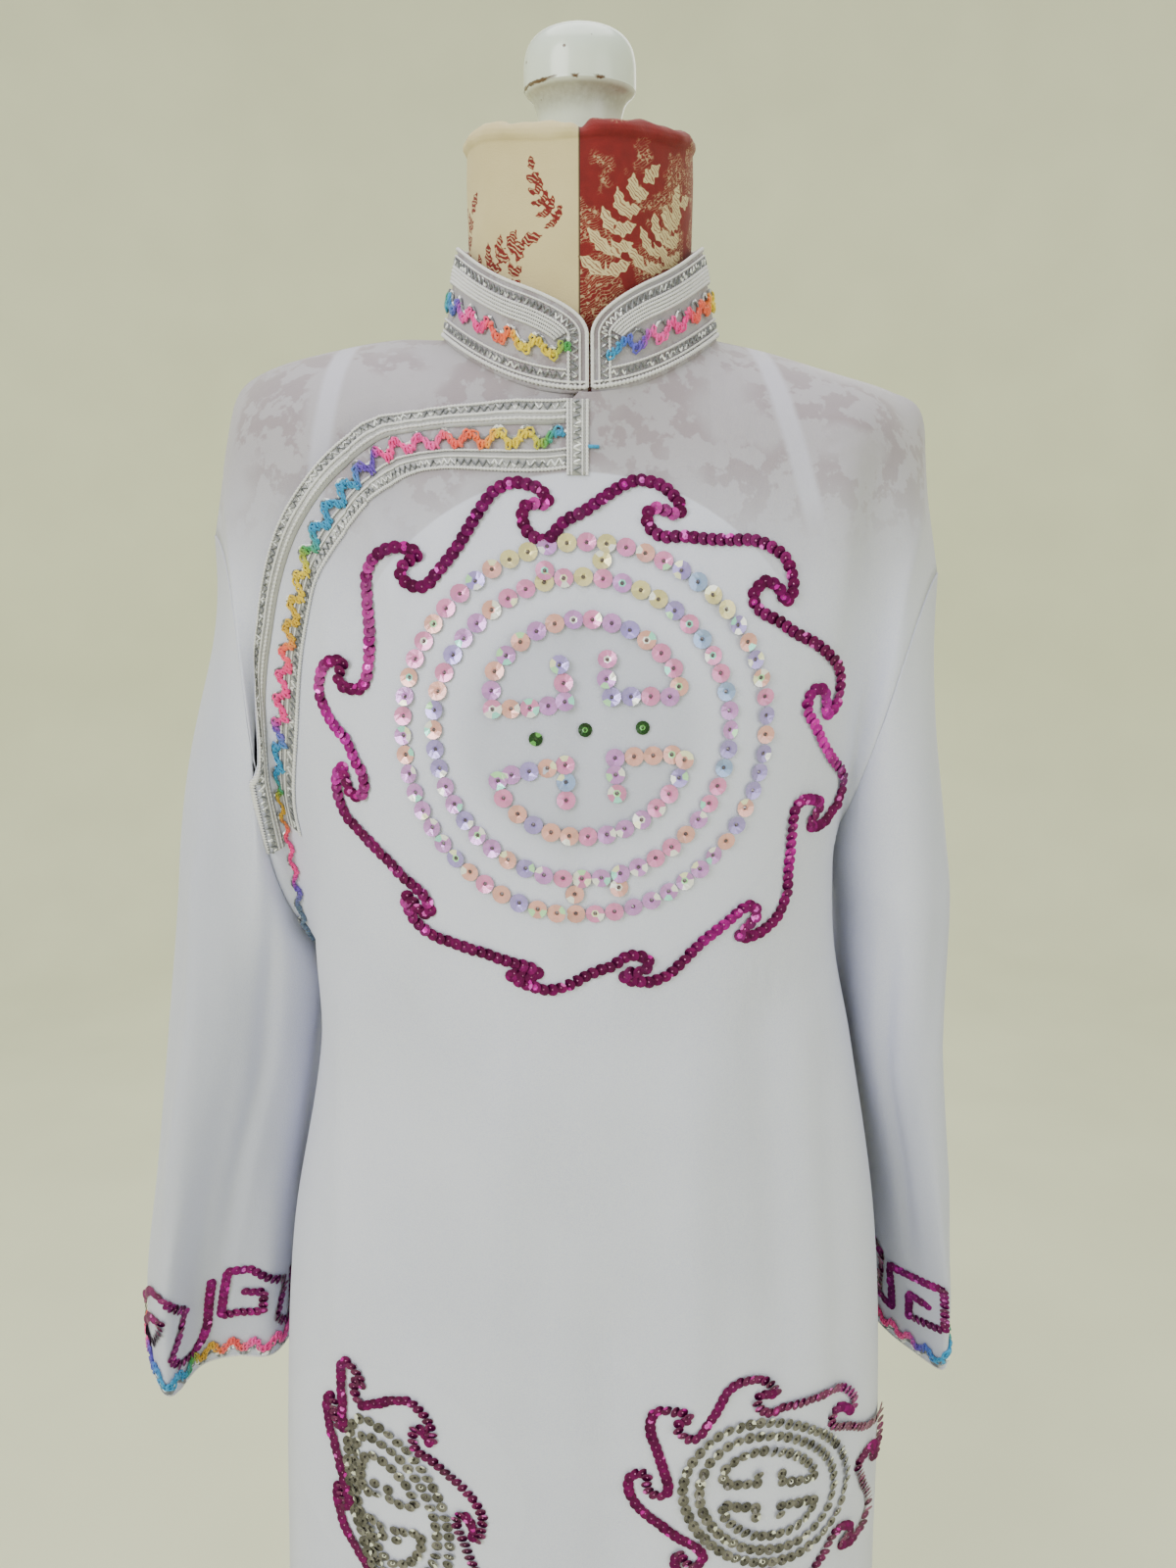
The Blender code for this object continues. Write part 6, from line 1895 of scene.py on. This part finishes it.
IRIDESCENT = sequin_finish("iridescent_sequin", 0.22, 0.35, 0.6)
SILVER_SEQUIN = sequin_finish("silver_sequin", 0.25, 0.85, 0.3)
MAGENTA = sequin_finish("magenta_sequin", 0.40, 0.72, 0.06)
GREEN = sequin_finish("green_sequin", 0.20, 0.60, 0.8)

CUP_SHAPE = model_sequin(0.42, 0.20, 0.25)
STRING_SHAPE = model_sequin(0.50, 0.10, 0.15)
GLINTS = [
    seen(*c) for c in ((255, 255, 255), (255, 255, 215), (150, 250, 235), (185, 250, 190), (255, 255, 255))
]


def tilts(count, lean, spread):
    return np.column_stack([np.full(count, lean), np.zeros(count)]) + dice.normal(0.0, spread, (count, 2))


def iridescent_colours(stitches):
    """Pale yellow at the top, blue to lavender on the right, rose and peach elsewhere, as the light falls."""
    x, z = (stitches.flat - chest).T
    top, right, low = smooth(0.045, 0.085, z), smooth(0.045, 0.085, x), smooth(-0.02, -0.09, z)
    shades_and_weights = (
        (seen(232, 128, 196), np.full(len(x), 1.1)),
        (seen(238, 168, 160), 0.8 + 0.4 * (x < 0)),
        (seen(202, 132, 222), 0.9 + low),
        (seen(160, 140, 226), 0.5 + 1.2 * right),
        (seen(228, 214, 150), 5.0 * top * (x > -0.04) + 0.9 * top),
        (seen(142, 172, 232), 0.15 + 0.8 * right),
    )
    shades, weights = zip(*shades_and_weights)
    weights = np.stack(weights, axis=-1)
    weights = weights / weights.sum(axis=-1, keepdims=True)
    chosen = (weights.cumsum(axis=-1) < dice.random((len(x), 1))).sum(axis=-1).clip(0, len(shades) - 1)
    return np.array(shades)[chosen]


cup_tints = facet_tints(
    cups, CUP_SHAPE[2], iridescent_colours(cups), seen(92, 82, 86), 0.16, GLINTS, 0.12, wash=0.12,
    pale=np.array(seen(228, 222, 226)),
)
chest_cups = sew(
    "chest_roundel_cups", CUP_SHAPE, cups, CUP / 2, cup_tints, IRIDESCENT, tilts(len(cups), 5.0, 4.0),
    dice.uniform(0, SPIN, len(cups)), stand=0.0002,
)
silver = gather([left_cups, right_cups])
silver_colours = np.array(seen(106, 102, 102)) * dice.uniform(0.70, 1.30, (len(silver), 1))
silver_tints = facet_tints(
    silver, CUP_SHAPE[2], silver_colours, seen(46, 40, 38), 0.48, [seen(240, 240, 236)], 0.05
)
hip_cups = sew(
    "hip_roundel_cups", CUP_SHAPE, silver, SILVER_CUP / 2, silver_tints, SILVER_SEQUIN,
    tilts(len(silver), 6.0, 5.0), dice.uniform(0, SPIN, len(silver)), stand=0.0002,
)


def magenta_string(name, stitches, bright):
    colours = np.array(seen(104, 0, 80)) * dice.uniform(0.7, 1.2, (len(stitches), 1))
    colours = colours + (np.array(seen(240, 30, 216)) - colours) * bright[:, None]
    glints = [seen(196, 24, 168), seen(228, 92, 210)]
    tints = facet_tints(stitches, STRING_SHAPE[2], colours, seen(186, 116, 160), 0.34, glints, 0.035)
    return sew(
        name, STRING_SHAPE, stitches, STRING / 2, tints, MAGENTA, tilts(len(stitches), 16.0, 4.0),
        dice.uniform(0, SPIN, len(stitches)),
    )


def stood_up(stitches, share):
    """The same string of sequins, standing up to face forward where the cloth turns away to the side."""
    ahead = smooth(-0.25, 0.25, -stitches.normals[:, 1]) * share
    normals = unit(stitches.normals + ahead[:, None] * np.array((0.0, -1.0, 0.0)))
    turn = np.linalg.norm(np.cross(normals, stitches.normals), axis=-1)
    places = stitches.places + stitches.normals * (STRING / 2 * turn * 0.75)[:, None]
    return Stitches(places, stitches.ways, normals, stitches.flat)


def flashes(stitches, *spots):
    """How strongly each stitch flashes: spots are x, z and reach on the front."""
    total = np.zeros(len(stitches))
    for x, z, reach in spots:
        total = total + bell(np.hypot(stitches.flat[:, 0] - x, stitches.flat[:, 1] - z), reach)
    return np.clip(total * dice.uniform(0.5, 1.0, len(stitches)), 0.0, 1.0)


chest_string = magenta_string("chest_wave_sequins", stood_up(chest_waves, 0.8), flashes(
    chest_waves, (0.112, 1.190, 0.020), (0.093, 1.135, 0.014), (0.062, 1.112, 0.012), (-0.124, 1.190, 0.012),
))
hip_waves = gather([left_waves, right_waves])
hip_string = magenta_string(
    "hip_wave_sequins", stood_up(hip_waves, 0.6), flashes(hip_waves, (0.166, 0.80, 0.012)) * 0.6
)
fret_strings = [
    magenta_string(f"{word}_cuff_fret", frets[hand], dice.uniform(0, 0.15, len(frets[hand])))
    for word, hand in (("left", LEFT), ("right", RIGHT))
]

greens = single_stitches(on_chest((-23, -4), (0, 0), (27, 1)))
green_tints = facet_tints(
    greens, CUP_SHAPE[2], np.tile(seen(10, 62, 22), (3, 1)), seen(70, 100, 60), 0.3,
    [seen(110, 190, 100)], 0.12,
)
chest_greens = sew(
    "chest_green_sequins", CUP_SHAPE, greens, 0.0034, green_tints, GREEN, tilts(3, 4.0, 3.0),
    np.array([0, 20, 40]), stand=0.0002,
)

# What each piece stands for, and what it is cut from

for finish, stand_ins in (
    ("crepe", (
        (front_cloth, "front"), (underlap_cloth, "underlap"), (back_cloth, "back"),
        (left_sleeve, "sleeve_left"), (right_sleeve, "sleeve_right"), (collar_cloth, "collar"),
    )),
    ("silver_braid", (
        (placket_outer, "placket_braid_outer"), (placket_inner, "placket_braid_inner"),
        (placket_end, "placket_braid_end"), (collar_top, "collar_braid_edge"),
        (collar_bottom, "collar_braid_base"),
    )),
    ("rainbow_yarn", (
        (placket_wave, "placket_rickrack"), (collar_wave, "collar_rickrack"),
        (cuff_waves[0], "cuff_rickrack_left"), (cuff_waves[1], "cuff_rickrack_right"),
    )),
    ("stiff_cloth", (
        (backings[0], "backing_chest"), (backings[1], "backing_hip_right"), (backings[2], "backing_hip_left"),
    )),
    ("printed_cover", ((form_cover, "form_torso"),)),
    ("white_paint", ((form_knob, "form_knob"), (stand_pole, "stand_pole"), (stand_base, "stand_base"))),
):
    for piece, node in stand_ins:
        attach(piece, "root")
        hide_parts(node)

for piece in (chest_cups, hip_cups, chest_string, hip_string, chest_greens, *fret_strings):
    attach(piece, "root")
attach(yarn_end, "root")
for piece in (placket_tinsel, *placket_ribbons, end_tinsel, end_ribbon, collar_tinsel, *cuff_tinsels):
    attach(piece, "root")


# The room: a pale round backdrop, soft lamps and the camera of the photograph


def make_backdrop():
    """A round floor that curves up into a wall."""
    turn = np.linspace(0, math.pi / 2, 14)[1:]
    radii = np.concatenate([[0.02], np.linspace(0.5, 2.5, 9), 2.5 + 0.7 * np.sin(turn), [3.2, 3.2]])
    heights = np.concatenate([np.zeros(10), 0.7 * (1 - np.cos(turn)), [2.2, 4.2]])
    angle = np.linspace(0.0, 2 * math.pi, 97)[None, :]
    grid = point(radii[:, None] * np.cos(angle), radii[:, None] * np.sin(angle), heights[:, None] - 0.0005)
    faces = grid_faces(len(radii), 97, True, True).tolist() + [list(range(96))]
    wall = plain_finish("backdrop_paint", seen(229, 231, 203), 0.95, 0.02, 0.0002)
    return mesh_object("backdrop", grid[:, :-1], faces, wall)


def area_lamp(name, place, target, size, power, colour):
    lamp = bpy.data.lights.new(name, "AREA")
    lamp.shape = "DISK"
    lamp.size = size
    lamp.energy = power
    lamp.color = colour
    obj = bpy.data.objects.new(name, lamp)
    obj.location = place
    obj.rotation_euler = (Vector(target) - Vector(place)).to_track_quat("-Z", "Y").to_euler()
    bpy.context.scene.collection.objects.link(obj)
    return obj


backdrop = make_backdrop()
area_lamp("window_soft", (-1.5, -1.7, 2.3), (0, 0, 1.15), 1.5, 46, (1.0, 1.0, 0.99))
area_lamp("fill_soft", (1.7, -1.5, 1.5), (0, 0, 1.0), 1.8, 15, (0.94, 0.96, 1.0))
area_lamp("ceiling_soft", (0.0, 0.3, 3.6), (0, 0, 0), 3.0, 70, (1.0, 0.99, 0.96))
area_lamp("back_soft", (0.4, 2.2, 2.4), (0, 0, 1.0), 1.8, 14, (1.0, 1.0, 0.98))

world = bpy.data.worlds.new("room_light")
bpy.context.scene.world = world
world.use_nodes = True
world.node_tree.nodes["Background"].inputs[0].default_value = (0.95, 0.96, 1.0, 1.0)
world.node_tree.nodes["Background"].inputs[1].default_value = 0.55

eye = bpy.data.cameras.new("photo_camera")
eye.lens = 26.55
eye.sensor_width = 36
camera = bpy.data.objects.new("photo_camera", eye)
camera.location = (0.004, -0.64, 1.327)
camera.rotation_euler = (math.radians(74.2), 0, 0)
bpy.context.scene.collection.objects.link(camera)
bpy.context.scene.camera = camera
